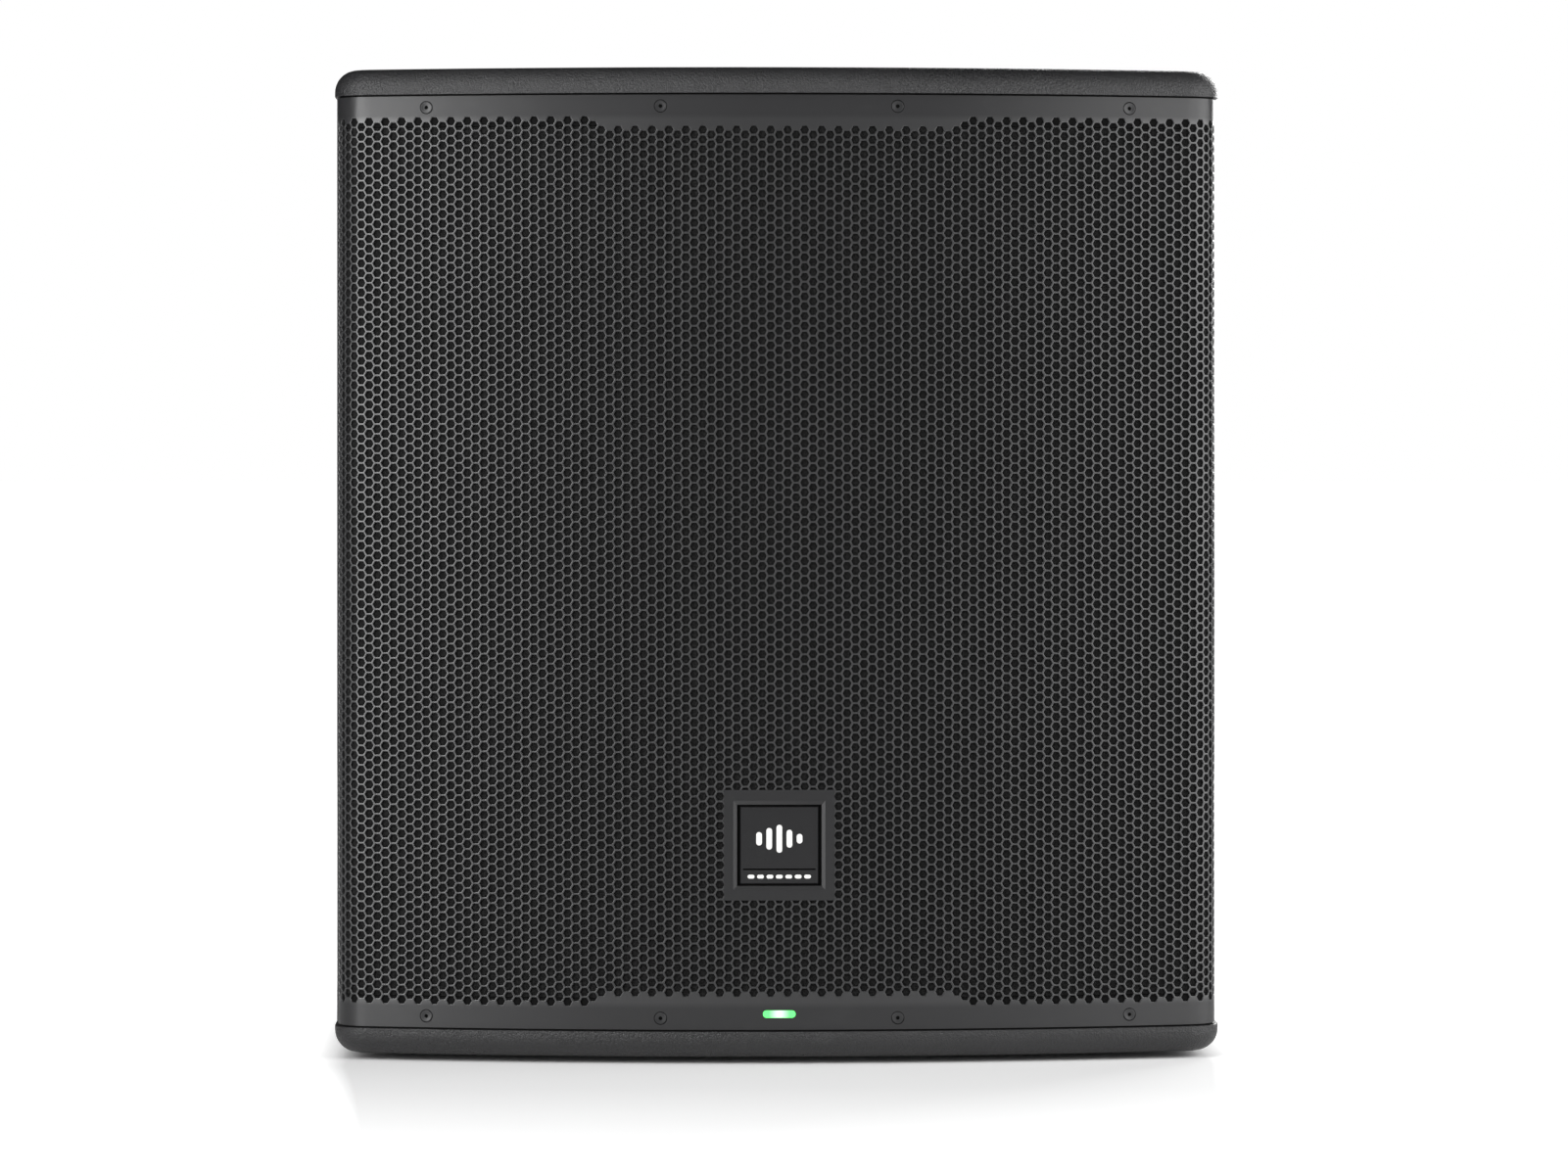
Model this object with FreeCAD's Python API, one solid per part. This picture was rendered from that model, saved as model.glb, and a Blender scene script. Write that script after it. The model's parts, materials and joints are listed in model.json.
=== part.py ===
"""Powered 18-inch subwoofer cabinet, in millimetres.

Frame: +Z up, the grille faces -Y, the control panel faces +Y, and the origin is on the floor under the
middle of the cabinet's box. Every function builds one node, and main() writes one STEP file per node.
"""

import FreeCAD, Part
import math
import os

# --- overall size -------------------------------------------------------------------------------------
WIDTH = 602.5
DEPTH = 713.0
HEIGHT = 672.0
HALF_WIDTH = WIDTH / 2
FRONT_Y = -DEPTH / 2
REAR_Y = DEPTH / 2

# --- plywood box --------------------------------------------------------------------------------------
PLY = 18.0
FOOT_HEIGHT = 4.0           # how far the feet hold the box off the floor
FOOT_RECESS = 6.0           # how deep they sit in the bottom panel
FOOT_R = 20.0
INNER_HALF = HALF_WIDTH - PLY
FLOOR_Z = FOOT_HEIGHT + PLY
CEILING_Z = HEIGHT - PLY
BOW_RADIUS = 1100.0         # front edge of the top and bottom panels, seen from above
FRONT_CORNER = 28.0         # front corners in plan
REAR_CORNER = 20.0          # rear corners in plan
EDGE_ROUND = 15.0           # roundover along the outer edges
BAFFLE_FRONT_Y = -290.0
BAFFLE_THICK = 24.0
REAR_PANEL_Y = (314.0, 332.0)
BRACE_Y = (100.0, 118.0)
BRACE_BORDER = 55.0
BRACE_BAR = 60.0

# --- grille and what it carries -----------------------------------------------------------------------
GRILLE_INSET = 2.2          # how far the panels' edges stand out past the grille
GRILLE_SHEET = 1.5
GRILLE_GAP = 1.2
GRILLE_BACK_Y = -262.0
REBATE_SHOULDER_Y = GRILLE_BACK_Y + 1.2
BATTEN_HEIGHT = 22.0
FOAM_THICK = 8.0
GRILLE_SCREW_X = (-240.0, -80.0, 80.0, 240.0)
GRILLE_SCREW_EDGE = 7.7     # screw axis to the grille's top or bottom edge
GRILLE_SCREW_R = 2.0
GRILLE_HEAD_R = 4.2
BADGE_Z = 147.5
BADGE_BASE = 74.4           # plain square sheet that the badge stands on
BADGE_BASE_THICK = 0.4
BADGE_FRAME = (62.0, 60.0)
BADGE_WINDOW = 53.0
BADGE_FRAME_THICK = 2.0
BADGE_PLATE = 52.4
BADGE_PLATE_THICK = 1.0
LIGHT_Z = FLOOR_Z + 11.8
LIGHT_LENGTH = 22.0
LIGHT_WIDTH = 5.0

# --- woofer, on an axis along Y -------------------------------------------------------------------------
WOOFER_Z = 396.0
WOOFER_BOLTS = 8
WOOFER_BOLT_CIRCLE_R = 223.5
PORT_X = 215.0
PORT_Z = 114.0
PORT_BORE_R = 51.0
PORT_WALL = 3.0
PORT_FLANGE_R = 60.0
PORT_BACK_Y = -110.0

# --- pole socket in the top panel -----------------------------------------------------------------------
SOCKET_Y = 10.0
SOCKET_BORE_R = 18.0
SOCKET_OUTER_R = 21.0
SOCKET_FLANGE_R = 45.0
SOCKET_FLANGE_THICK = 4.0
SOCKET_DEPTH = 80.0
SOCKET_FLOOR = 4.0          # closes the thread's lower end, so that the box stays airtight
THREAD_MINOR_R = 8.65       # M20 x 2.5, minor diameter 17.3
THREAD_LENGTH = 24.0

# --- side handles ---------------------------------------------------------------------------------------
HANDLE_Y = -10.0
HANDLE_Z = 420.0
HANDLE_FLANGE = (200.0, 130.0)
HANDLE_FLANGE_THICK = 3.0
HANDLE_CUP = (172.0, 104.0)
HANDLE_CUP_DEPTH = 70.0
HANDLE_WALL = 3.0
HANDLE_GRIP_DROP = 30.0     # how far the grip hangs below the cup's inner roof
HANDLE_GRIP_DEPTH = 20.0

# --- amplifier panel on the rear ------------------------------------------------------------------------
PANEL_Y = REAR_PANEL_Y[1] + 1.5
PANEL_THICK = 3.0
PANEL_FACE_Y = PANEL_Y + PANEL_THICK
PANEL_HALF = 130.0
PANEL_Z = (175.0, 585.0)
CUTOUT_HALF = 112.0
CUTOUT_Z = (193.0, 567.0)
PANEL_SCREW_X = 123.0
PANEL_SCREW_Z = (182.0, 281.0, 380.0, 479.0, 578.0)
DISPLAY_Z = 532.0
KNOB_Z = 470.0
INPUT_Z = 404.0
OUTPUT_Z = 352.0
SOCKET_X = (-30.0, 30.0)
MAINS_Z = 226.0
MAINS_X = 32.0
SWITCH_X = -36.0
SWITCH_PIVOT_Y = 334.5
ROCKER_TILT = 10.0
HEAT_SINK_X = (80.0, 115.0)
HEAT_SINK_Z = (190.0, 570.0)


def vec(x, y, z):
    return FreeCAD.Vector(x, y, z)


def block(x, y, z):
    """Box between the given (low, high) pairs."""
    return Part.makeBox(x[1] - x[0], y[1] - y[0], z[1] - z[0], vec(x[0], y[0], z[0]))


def rod_y(radius, x, z, y):
    """Cylinder along Y between the pair y."""
    return Part.makeCylinder(radius, y[1] - y[0], vec(x, y[0], z), vec(0, 1, 0))


def rod_z(radius, x, y, z):
    """Cylinder along Z between the pair z."""
    return Part.makeCylinder(radius, z[1] - z[0], vec(x, y, z[0]), vec(0, 0, 1))


def rod_x(radius, y, z, x):
    """Cylinder along X between the pair x."""
    return Part.makeCylinder(radius, x[1] - x[0], vec(x[0], y, z), vec(1, 0, 0))


def ring_y(outer, inner, x, z, y):
    return rod_y(outer, x, z, y).cut(rod_y(inner, x, z, y))


def turned(profile, x, z):
    """Solid turned about the line along Y through (x, z). The profile is a list of (radius, y)."""
    points = [vec(x + r, y, z) for r, y in profile]
    face = Part.Face(Part.makePolygon(points + [points[0]]))
    return face.revolve(vec(x, 0, z), vec(0, 1, 0), 360)


def fused(shapes):
    whole = shapes[0]
    for shape in shapes[1:]:
        whole = whole.fuse(shape)
    return whole.removeSplitter()


def mirrored(shape):
    """The same solid on the other side of the middle plane."""
    return shape.mirror(vec(0, 0, 0), vec(1, 0, 0))


def upright_edges(shape, test):
    """Edges along Z whose (x, y) passes the test."""
    found = []
    for edge in shape.Edges:
        ends = [v.Point for v in edge.Vertexes]
        if len(ends) != 2:
            continue
        a, b = ends
        if abs(a.x - b.x) < 1e-6 and abs(a.y - b.y) < 1e-6 and test(a.x, a.y):
            found.append(edge)
    return found


def edges_along_y(shape, test):
    """Edges along Y whose (x, z) passes the test."""
    found = []
    for edge in shape.Edges:
        ends = [v.Point for v in edge.Vertexes]
        if len(ends) != 2:
            continue
        a, b = ends
        if abs(a.x - b.x) < 1e-6 and abs(a.z - b.z) < 1e-6 and test(a.x, a.z):
            found.append(edge)
    return found


def cabinet_outline(inset, z, back_y, rear_corner=0.0):
    """The cabinet's plan set in by inset: bowed front, rounded front corners, straight sides to back_y."""
    half = HALF_WIDTH - inset
    body = block((-half, half), (FRONT_Y - 1, back_y), z)
    bow = rod_z(BOW_RADIUS - inset, 0, FRONT_Y + BOW_RADIUS, z)
    body = body.common(bow)
    front = upright_edges(body, lambda x, y: y < min(FRONT_Y + 100, back_y - 1))
    body = body.makeFillet(FRONT_CORNER - inset, front)
    if rear_corner:
        rear = upright_edges(body, lambda x, y: y > back_y - 1)
        body = body.makeFillet(rear_corner, rear)
    return body


def round_rim(shape, z):
    """Rolls over the rim of the flat face at height z."""
    for face in shape.Faces:
        centre = face.CenterOfMass
        if abs(centre.z - z) < 1e-3:
            return shape.makeFillet(EDGE_ROUND, face.OuterWire.Edges)
    raise ValueError("no face at that height")


# --- plywood box --------------------------------------------------------------------------------------
def foot_places():
    """Plan centres of the four feet."""
    return [(x, y) for x in (-235.0, 235.0) for y in (-255.0, 305.0)]


def bottom_panel():
    panel = round_rim(cabinet_outline(0, (FOOT_HEIGHT, FLOOR_Z), REAR_Y, REAR_CORNER), FOOT_HEIGHT)
    for x, y in foot_places():
        panel = panel.cut(rod_z(FOOT_R + 0.2, x, y, (FOOT_HEIGHT, FOOT_HEIGHT + FOOT_RECESS)))
        panel = panel.cut(rod_z(2.5, x, y, (FOOT_HEIGHT, FLOOR_Z - 1)))
    return panel


def pole_socket_screw_places():
    return [(25 * sx, SOCKET_Y + 25 * sy) for sx in (-1, 1) for sy in (-1, 1)]


def top_panel():
    panel = round_rim(cabinet_outline(0, (CEILING_Z, HEIGHT), REAR_Y, REAR_CORNER), HEIGHT)
    panel = panel.cut(rod_z(SOCKET_OUTER_R, 0, SOCKET_Y, (CEILING_Z, HEIGHT)))
    recess = (HEIGHT - SOCKET_FLANGE_THICK, HEIGHT)
    panel = panel.cut(rod_z(SOCKET_FLANGE_R + 0.5, 0, SOCKET_Y, recess))
    for x, y in pole_socket_screw_places():
        panel = panel.cut(rod_z(2.0, x, y, (CEILING_Z + 1, HEIGHT)))
    return panel


def handle_cutout():
    """Recess and hole for a handle in the right-hand side panel."""
    half_y, half_z = (HANDLE_FLANGE[0] + 0.8) / 2, (HANDLE_FLANGE[1] + 0.8) / 2
    recess = block(
        (HALF_WIDTH - HANDLE_FLANGE_THICK, HALF_WIDTH + 1),
        (HANDLE_Y - half_y, HANDLE_Y + half_y),
        (HANDLE_Z - half_z, HANDLE_Z + half_z),
    )
    along_x = [e for e in recess.Edges if abs(e.Vertexes[0].X - e.Vertexes[1].X) > 1]
    recess = recess.makeFillet(14.4, along_x)
    half_y, half_z = (HANDLE_CUP[0] + 1) / 2, (HANDLE_CUP[1] + 1) / 2
    hole = block(
        (INNER_HALF - 1, HALF_WIDTH),
        (HANDLE_Y - half_y, HANDLE_Y + half_y),
        (HANDLE_Z - half_z, HANDLE_Z + half_z),
    )
    return recess.fuse(hole)


def handle_screw_places():
    """(y, z) of the screws round a handle's flange."""
    places = [(HANDLE_Y + dy, HANDLE_Z + dz) for dy in (-92, 92) for dz in (-42, 42)]
    return places + [(HANDLE_Y + dy, HANDLE_Z + dz) for dy in (-55, 55) for dz in (-58.5, 58.5)]


def side_panel():
    """The right-hand side, with a rebate at the front for the grille's return."""
    height = (FLOOR_Z, CEILING_Z)
    full = cabinet_outline(0, height, REAR_Y, REAR_CORNER)
    full = full.common(block((INNER_HALF, HALF_WIDTH + 1), (REBATE_SHOULDER_Y, REAR_Y + 1), height))
    tongue = cabinet_outline(GRILLE_INSET + GRILLE_SHEET + 0.3, height, 0)
    tongue = tongue.common(block((INNER_HALF, HALF_WIDTH), (BAFFLE_FRONT_Y, REBATE_SHOULDER_Y), height))
    panel = fused([full, tongue]).cut(handle_cutout())
    for y, z in handle_screw_places():
        panel = panel.cut(rod_x(2.0, y, z, (INNER_HALF + 2, HALF_WIDTH)))
    return panel


def rear_panel():
    panel = block((-INNER_HALF, INNER_HALF), REAR_PANEL_Y, (FLOOR_Z, CEILING_Z))
    panel = panel.cut(block((-CUTOUT_HALF, CUTOUT_HALF), REAR_PANEL_Y, CUTOUT_Z))
    for x, z in panel_screw_places():
        panel = panel.cut(rod_y(1.8, x, z, (REAR_PANEL_Y[0] + 2, REAR_PANEL_Y[1])))
    return panel


def woofer_bolt_places():
    """(x, z) of the bolts round the woofer's flange."""
    places = []
    for i in range(WOOFER_BOLTS):
        angle = math.radians(22.5 + 360 * i / WOOFER_BOLTS)
        places.append(
            (WOOFER_BOLT_CIRCLE_R * math.cos(angle), WOOFER_Z + WOOFER_BOLT_CIRCLE_R * math.sin(angle))
        )
    return places


def front_baffle():
    depth = (BAFFLE_FRONT_Y, BAFFLE_FRONT_Y + BAFFLE_THICK)
    baffle = block((-INNER_HALF, INNER_HALF), depth, (FLOOR_Z, CEILING_Z))
    baffle = baffle.cut(rod_y(212, 0, WOOFER_Z, depth))
    for x in (-PORT_X, PORT_X):
        baffle = baffle.cut(rod_y(PORT_BORE_R + PORT_WALL + 0.2, x, PORT_Z, depth))
    for x, z in woofer_bolt_places():
        baffle = baffle.cut(rod_y(3.0, x, z, depth))
    return baffle.cut(rod_y(4.0, 0, LIGHT_Z, depth))


def window_brace():
    """Upright frame with four windows that ties the side, top and bottom panels together."""
    brace = block((-INNER_HALF, INNER_HALF), BRACE_Y, (FLOOR_Z, CEILING_Z))
    middle = (FLOOR_Z + CEILING_Z) / 2
    inner, outer = BRACE_BAR / 2, INNER_HALF - BRACE_BORDER
    for x in ((-outer, -inner), (inner, outer)):
        for z in ((FLOOR_Z + BRACE_BORDER, middle - inner), (middle + inner, CEILING_Z - BRACE_BORDER)):
            window = block(x, BRACE_Y, z)
            along_y = edges_along_y(window, lambda px, pz: True)
            brace = brace.cut(window.makeFillet(20, along_y))
    return brace


def grille_battens():
    """Curved strips above and below the foam that the grille is screwed to."""
    front = GRILLE_INSET + GRILLE_SHEET
    upper = cabinet_outline(front, (CEILING_Z - BATTEN_HEIGHT, CEILING_Z), BAFFLE_FRONT_Y)
    lower = cabinet_outline(front, (FLOOR_Z, FLOOR_Z + BATTEN_HEIGHT), BAFFLE_FRONT_Y)
    for x, z in grille_screw_places():
        pilot = on_bow(rod_y(GRILLE_SCREW_R, 0, z, (FRONT_Y, FRONT_Y + 22)), x)
        if z > HEIGHT / 2:
            upper = upper.cut(pilot)
        else:
            lower = lower.cut(pilot)
    pocket = block((-20, 20), (FRONT_Y, FRONT_Y + 24), (LIGHT_Z - 5, LIGHT_Z + 5))
    wire_hole = rod_y(4.0, 0, LIGHT_Z, (FRONT_Y + 24, BAFFLE_FRONT_Y))
    return Part.makeCompound([upper, lower.cut(pocket).cut(wire_hole)])


# --- grille -------------------------------------------------------------------------------------------
def on_bow(shape, x):
    """Turns a shape made on the middle plane round the bow's axis, so that it stands at x."""
    angle = math.degrees(math.asin(x / BOW_RADIUS))
    turned_shape = shape.copy()
    turned_shape.rotate(vec(0, FRONT_Y + BOW_RADIUS, 0), vec(0, 0, 1), angle)
    return turned_shape


def grille_height():
    return (FLOOR_Z + GRILLE_GAP, CEILING_Z - GRILLE_GAP)


def grille_screw_places():
    low, high = grille_height()
    return [(x, z) for z in (low + GRILLE_SCREW_EDGE, high - GRILLE_SCREW_EDGE) for x in GRILLE_SCREW_X]


def pill(length, width, y, z):
    """Slot shape along X with round ends, between the pair y."""
    half = (length - width) / 2
    bar = block((-half, half), y, (z - width / 2, z + width / 2))
    return fused([bar, rod_y(width / 2, -half, z, y), rod_y(width / 2, half, z, y)])


def grille():
    """Sheet that follows the bow and wraps on to both sides, with its screw holes and light slot."""
    z = grille_height()
    sheet = cabinet_outline(GRILLE_INSET, z, GRILLE_BACK_Y)
    sheet = sheet.cut(cabinet_outline(GRILLE_INSET + GRILLE_SHEET, z, GRILLE_BACK_Y))
    for x, screw_z in grille_screw_places():
        sheet = sheet.cut(on_bow(rod_y(GRILLE_SCREW_R, 0, screw_z, (FRONT_Y, FRONT_Y + 10)), x))
    return sheet.cut(pill(LIGHT_LENGTH + 0.4, LIGHT_WIDTH + 0.4, (FRONT_Y, FRONT_Y + 10), LIGHT_Z))


def grille_foam():
    z = (FLOOR_Z + BATTEN_HEIGHT + 0.4, CEILING_Z - BATTEN_HEIGHT - 0.4)
    front = GRILLE_INSET + GRILLE_SHEET + 0.2
    back_y = BAFFLE_FRONT_Y - 0.4
    return cabinet_outline(front, z, back_y).cut(cabinet_outline(front + FOAM_THICK, z, back_y))


def grille_screws():
    face_y = FRONT_Y + GRILLE_INSET
    screws = []
    for x, z in grille_screw_places():
        head = rod_y(GRILLE_HEAD_R, 0, z, (face_y - 1.3, face_y - 0.02))
        head = head.makeFillet(0.7, [e for e in head.Edges if abs(e.CenterOfMass.y - face_y + 1.3) < 0.01])
        head = head.cut(rod_y(1.2, 0, z, (face_y - 2, face_y - 0.4)))
        shank = rod_y(GRILLE_SCREW_R, 0, z, (face_y - 0.1, face_y + 18))
        screws.append(on_bow(fused([head, shank]), x))
    return Part.makeCompound(screws)


def on_grille_face(x, z, low, high):
    """A block's area raised from the grille's face, from low to high above it, following the bow."""
    area = block(x, (FRONT_Y - 2, FRONT_Y + 40), z)
    skin = cabinet_outline(GRILLE_INSET - high, z, 0).cut(cabinet_outline(GRILLE_INSET - low, z, 0))
    return skin.common(area)


def badge_area(width, height):
    return (-width / 2, width / 2), (BADGE_Z - height / 2, BADGE_Z + height / 2)


def badge_frame():
    """Raised frame on a plain square sheet."""
    base = on_grille_face(*badge_area(BADGE_BASE, BADGE_BASE), 0, BADGE_BASE_THICK)
    frame = on_grille_face(*badge_area(*BADGE_FRAME), BADGE_BASE_THICK, BADGE_FRAME_THICK)
    window_x, window_z = badge_area(BADGE_WINDOW, BADGE_WINDOW)
    return fused([base, frame.cut(block(window_x, (FRONT_Y - 2, FRONT_Y + 40), window_z))])


def badge_plate():
    top = BADGE_BASE_THICK + BADGE_PLATE_THICK
    return on_grille_face(*badge_area(BADGE_PLATE, BADGE_PLATE), BADGE_BASE_THICK, top)


def status_light_lens():
    """Light bar that fills the grille's slot, with a wider foot behind the sheet."""
    face_y = FRONT_Y + GRILLE_INSET
    bar = pill(LIGHT_LENGTH, LIGHT_WIDTH, (face_y - 0.3, face_y + 10), LIGHT_Z)
    foot = pill(LIGHT_LENGTH + 6, LIGHT_WIDTH + 3, (face_y + 2, face_y + 10), LIGHT_Z)
    return fused([bar, foot])


def status_light_board():
    face_y = FRONT_Y + GRILLE_INSET
    board = block((-18, 18), (face_y + 11.2, face_y + 12.8), (LIGHT_Z - 4.6, LIGHT_Z + 4.6))
    lamps = [block((x - 1.6, x + 1.6), (face_y + 10.2, face_y + 11.2), (LIGHT_Z - 1.4, LIGHT_Z + 1.4))
             for x in (-7, 0, 7)]
    return fused([board] + lamps)


# --- woofer -------------------------------------------------------------------------------------------
def window_sector(angle, half_angle, radii, y):
    """Curved slot round the woofer's axis, for the openings in its basket."""
    a, b = math.radians(angle - half_angle), math.radians(angle + half_angle)
    corners = [(r * math.cos(t), WOOFER_Z + r * math.sin(t)) for r, t in
               ((radii[0], a), (radii[1] / math.cos(b - a) * 1.02, a),
                (radii[1] / math.cos(b - a) * 1.02, b), (radii[0], b))]
    points = [vec(px, y[0], pz) for px, pz in corners]
    wedge = Part.Face(Part.makePolygon(points + [points[0]])).extrude(vec(0, y[1] - y[0], 0))
    return wedge.common(ring_y(radii[1], radii[0], 0, WOOFER_Z, y))


def woofer_basket():
    profile = [
        (207, -302), (231, -302), (231, -290), (210, -290), (120, -196), (112, -165), (60, -165),
        (60, -170), (106, -170), (110, -200), (96, -200), (96, -203), (115.5, -203), (203, -290),
    ]
    basket = turned(profile, 0, WOOFER_Z)
    for i in range(6):
        basket = basket.cut(window_sector(60 * i + 30, 21, (124, 196), (-285, -205)))
    for x, z in woofer_bolt_places():
        basket = basket.cut(rod_y(3.0, x, z, (-303, -289)))
    return basket


def woofer_gasket():
    gasket = ring_y(231, 216.4, 0, WOOFER_Z, (-305, -302))
    for x, z in woofer_bolt_places():
        gasket = gasket.cut(rod_y(3.0, x, z, (-306, -301)))
    return gasket


def half_roll(radius, middle, height, y, steps=12):
    """Points of a half-round roll, from its inner foot to its outer foot."""
    points = []
    for i in range(steps + 1):
        t = math.pi * i / steps
        points.append((middle - radius * math.cos(t), y - height * math.sin(t)))
    return points


def woofer_surround():
    front = half_roll(11, 197.5, 12, -303.2)
    back = half_roll(9.8, 197.5, 10.8, -302.0)
    profile = [(179, -303.2)] + front + [(216, -303.2), (216, -302.0)] + back[::-1] + [(179, -302.0)]
    return turned(profile, 0, WOOFER_Z)


def woofer_cone():
    profile = [(38.2, -224), (38.2, -230), (178, -302), (187, -302), (187, -300.4), (178.6, -300.4), (41, -224)]
    return turned(profile, 0, WOOFER_Z)


def woofer_dust_cap():
    """Shallow dome, resting on the cone's front face."""
    foot_r, foot_y, crown = 58.0, -240.4, 18.0
    outer, inner = [], []
    for i in range(9):
        share = i / 8
        outer.append((foot_r * share, foot_y - crown * (1 - share * share)))
        inner.append(((foot_r - 1.2) * share, foot_y - (crown - 1.2) * (1 - share * share)))
    return turned(outer + inner[::-1], 0, WOOFER_Z)


def woofer_voice_coil():
    profile = [(37.6, -230), (38.2, -230), (38.2, -172), (39.5, -172), (39.5, -146), (38.2, -146),
               (38.2, -141), (37.6, -141)]
    return turned(profile, 0, WOOFER_Z)


def woofer_spider():
    """Corrugated disc that centres the coil, glued to the basket's ledge at its rim."""
    waves, inner, outer, thick = 6, 39.0, 94.0, 0.7
    front = [(38.3, -204.2)]
    for i in range(waves * 2 + 1):
        front.append((inner + (outer - inner) * i / (waves * 2), -204.2 + (3.2 if i % 2 else -3.2)))
    front += [(97, -203.7), (104, -203.7)]
    back = [(r, y + thick) for r, y in front]
    return turned(front + back[::-1], 0, WOOFER_Z)


def woofer_front_plate():
    return ring_y(100, 41.5, 0, WOOFER_Z, (-165, -153))


def woofer_magnet():
    return ring_y(105, 56, 0, WOOFER_Z, (-153, -128))


def woofer_pole_yoke():
    """Back plate and vented pole in one piece."""
    profile = [(15, -116), (100, -116), (100, -128), (36, -128), (36, -166), (15, -166)]
    return turned(profile, 0, WOOFER_Z)


def woofer_terminals():
    base = block((-16, 16), (-196, -176), (WOOFER_Z - 134, WOOFER_Z - 108))
    base = base.cut(rod_y(120, 0, WOOFER_Z, (-200, -170)))
    posts = [rod_z(2.5, x, -186, (WOOFER_Z - 142, WOOFER_Z - 134)) for x in (-9, 9)]
    return fused([base] + posts)


def woofer_bolts():
    bolts = []
    for x, z in woofer_bolt_places():
        head = rod_y(5.5, x, z, (-310, -305)).cut(rod_y(2.4, x, z, (-311, -307)))
        bolts.append(fused([head, rod_y(3.0, x, z, (-305.1, -263))]))
    return Part.makeCompound(bolts)


def port_tubes():
    """Flared tubes that let the box breathe through the baffle."""
    mouth_y, outer = BAFFLE_FRONT_Y - 3, PORT_BORE_R + PORT_WALL
    profile = [
        (PORT_BORE_R + 5, mouth_y), (PORT_FLANGE_R, mouth_y), (PORT_FLANGE_R, BAFFLE_FRONT_Y),
        (outer, BAFFLE_FRONT_Y), (outer, PORT_BACK_Y - 12), (outer + 5, PORT_BACK_Y),
        (PORT_BORE_R + 5, PORT_BACK_Y), (PORT_BORE_R, PORT_BACK_Y - 12), (PORT_BORE_R, mouth_y + 8),
        (PORT_BORE_R + 1.5, mouth_y + 2.5),
    ]
    return Part.makeCompound([turned(profile, x, PORT_Z) for x in (-PORT_X, PORT_X)])


# --- pole socket, handles and feet ----------------------------------------------------------------------
def pole_socket():
    """Cup for a 35 mm pole, with an M20 thread at its foot."""
    thread_z = HEIGHT - SOCKET_DEPTH - THREAD_LENGTH
    foot_z = thread_z - SOCKET_FLOOR
    flange = rod_z(SOCKET_FLANGE_R, 0, SOCKET_Y, (HEIGHT - SOCKET_FLANGE_THICK, HEIGHT))
    rim = [e for e in flange.Edges if abs(e.CenterOfMass.z - HEIGHT) < 1e-3]
    flange = flange.makeFillet(1.5, rim)
    cup = rod_z(SOCKET_OUTER_R, 0, SOCKET_Y, (foot_z, HEIGHT - SOCKET_FLANGE_THICK))
    body = fused([flange, cup])
    body = body.cut(rod_z(SOCKET_BORE_R, 0, SOCKET_Y, (HEIGHT - SOCKET_DEPTH, HEIGHT)))
    body = body.cut(rod_z(THREAD_MINOR_R, 0, SOCKET_Y, (thread_z, HEIGHT)))
    chamfer = Part.makeCone(SOCKET_BORE_R, SOCKET_BORE_R + 1, 1, vec(0, SOCKET_Y, HEIGHT - 1))
    body = body.cut(chamfer)
    for x, y in pole_socket_screw_places():
        body = body.cut(rod_z(2.0, x, y, (foot_z, HEIGHT)))
        body = body.cut(Part.makeCone(2.0, 4.4, 2.4, vec(x, y, HEIGHT - 2.4)))
    return body


def countersunk(radius, head_radius, head_depth, length):
    """Screw along -Z with its flat head at z = 0 and a driver recess."""
    head = Part.makeCone(radius, head_radius, head_depth, vec(0, 0, -head_depth))
    shank = rod_z(radius, 0, 0, (-length, -head_depth))
    recess = rod_z(radius * 0.6, 0, 0, (-head_depth * 0.7, 1))
    return fused([head, shank]).cut(recess)


def pole_socket_screws():
    screws = []
    for x, y in pole_socket_screw_places():
        screw = countersunk(2.0, 4.2, 2.2, 16)
        screw.translate(vec(x, y, HEIGHT - 0.2))
        screws.append(screw)
    return Part.makeCompound(screws)


def handle():
    """Right-hand handle: a cup let into the side, with a grip to close the fingers behind."""
    face_x, back_x = HALF_WIDTH, HALF_WIDTH - HANDLE_FLANGE_THICK
    half_y, half_z = HANDLE_FLANGE[0] / 2, HANDLE_FLANGE[1] / 2
    flange = block((back_x, face_x), (HANDLE_Y - half_y, HANDLE_Y + half_y), (HANDLE_Z - half_z, HANDLE_Z + half_z))
    flange = flange.makeFillet(14, [e for e in flange.Edges if abs(e.Vertexes[0].X - e.Vertexes[1].X) > 1])
    cup_y, cup_z = HANDLE_CUP[0] / 2, HANDLE_CUP[1] / 2
    deep_x = face_x - HANDLE_CUP_DEPTH
    cup = block((deep_x, back_x), (HANDLE_Y - cup_y, HANDLE_Y + cup_y), (HANDLE_Z - cup_z, HANDLE_Z + cup_z))
    cup = cup.makeFillet(10, [e for e in cup.Edges if e.CenterOfMass.x < back_x - 1])
    body = fused([flange, cup])
    in_y, in_z = cup_y - HANDLE_WALL, cup_z - HANDLE_WALL
    hollow = block(
        (deep_x + HANDLE_WALL, face_x - HANDLE_GRIP_DEPTH),
        (HANDLE_Y - in_y, HANDLE_Y + in_y),
        (HANDLE_Z - in_z, HANDLE_Z + in_z),
    )
    hollow = hollow.makeFillet(7, hollow.Edges)
    mouth = block(
        (deep_x + 15, face_x + 1),
        (HANDLE_Y - in_y, HANDLE_Y + in_y),
        (HANDLE_Z - in_z, HANDLE_Z + in_z - HANDLE_GRIP_DROP),
    )
    mouth = mouth.makeFillet(12, [e for e in mouth.Edges if abs(e.Vertexes[0].X - e.Vertexes[1].X) > 1])
    body = body.cut(hollow).cut(mouth)
    for y, z in handle_screw_places():
        body = body.cut(rod_x(2.0, y, z, (back_x - 1, face_x)))
        body = body.cut(Part.makeCone(2.0, 4.2, 2.2, vec(face_x - 2.2, y, z), vec(1, 0, 0)))
    return body


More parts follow.
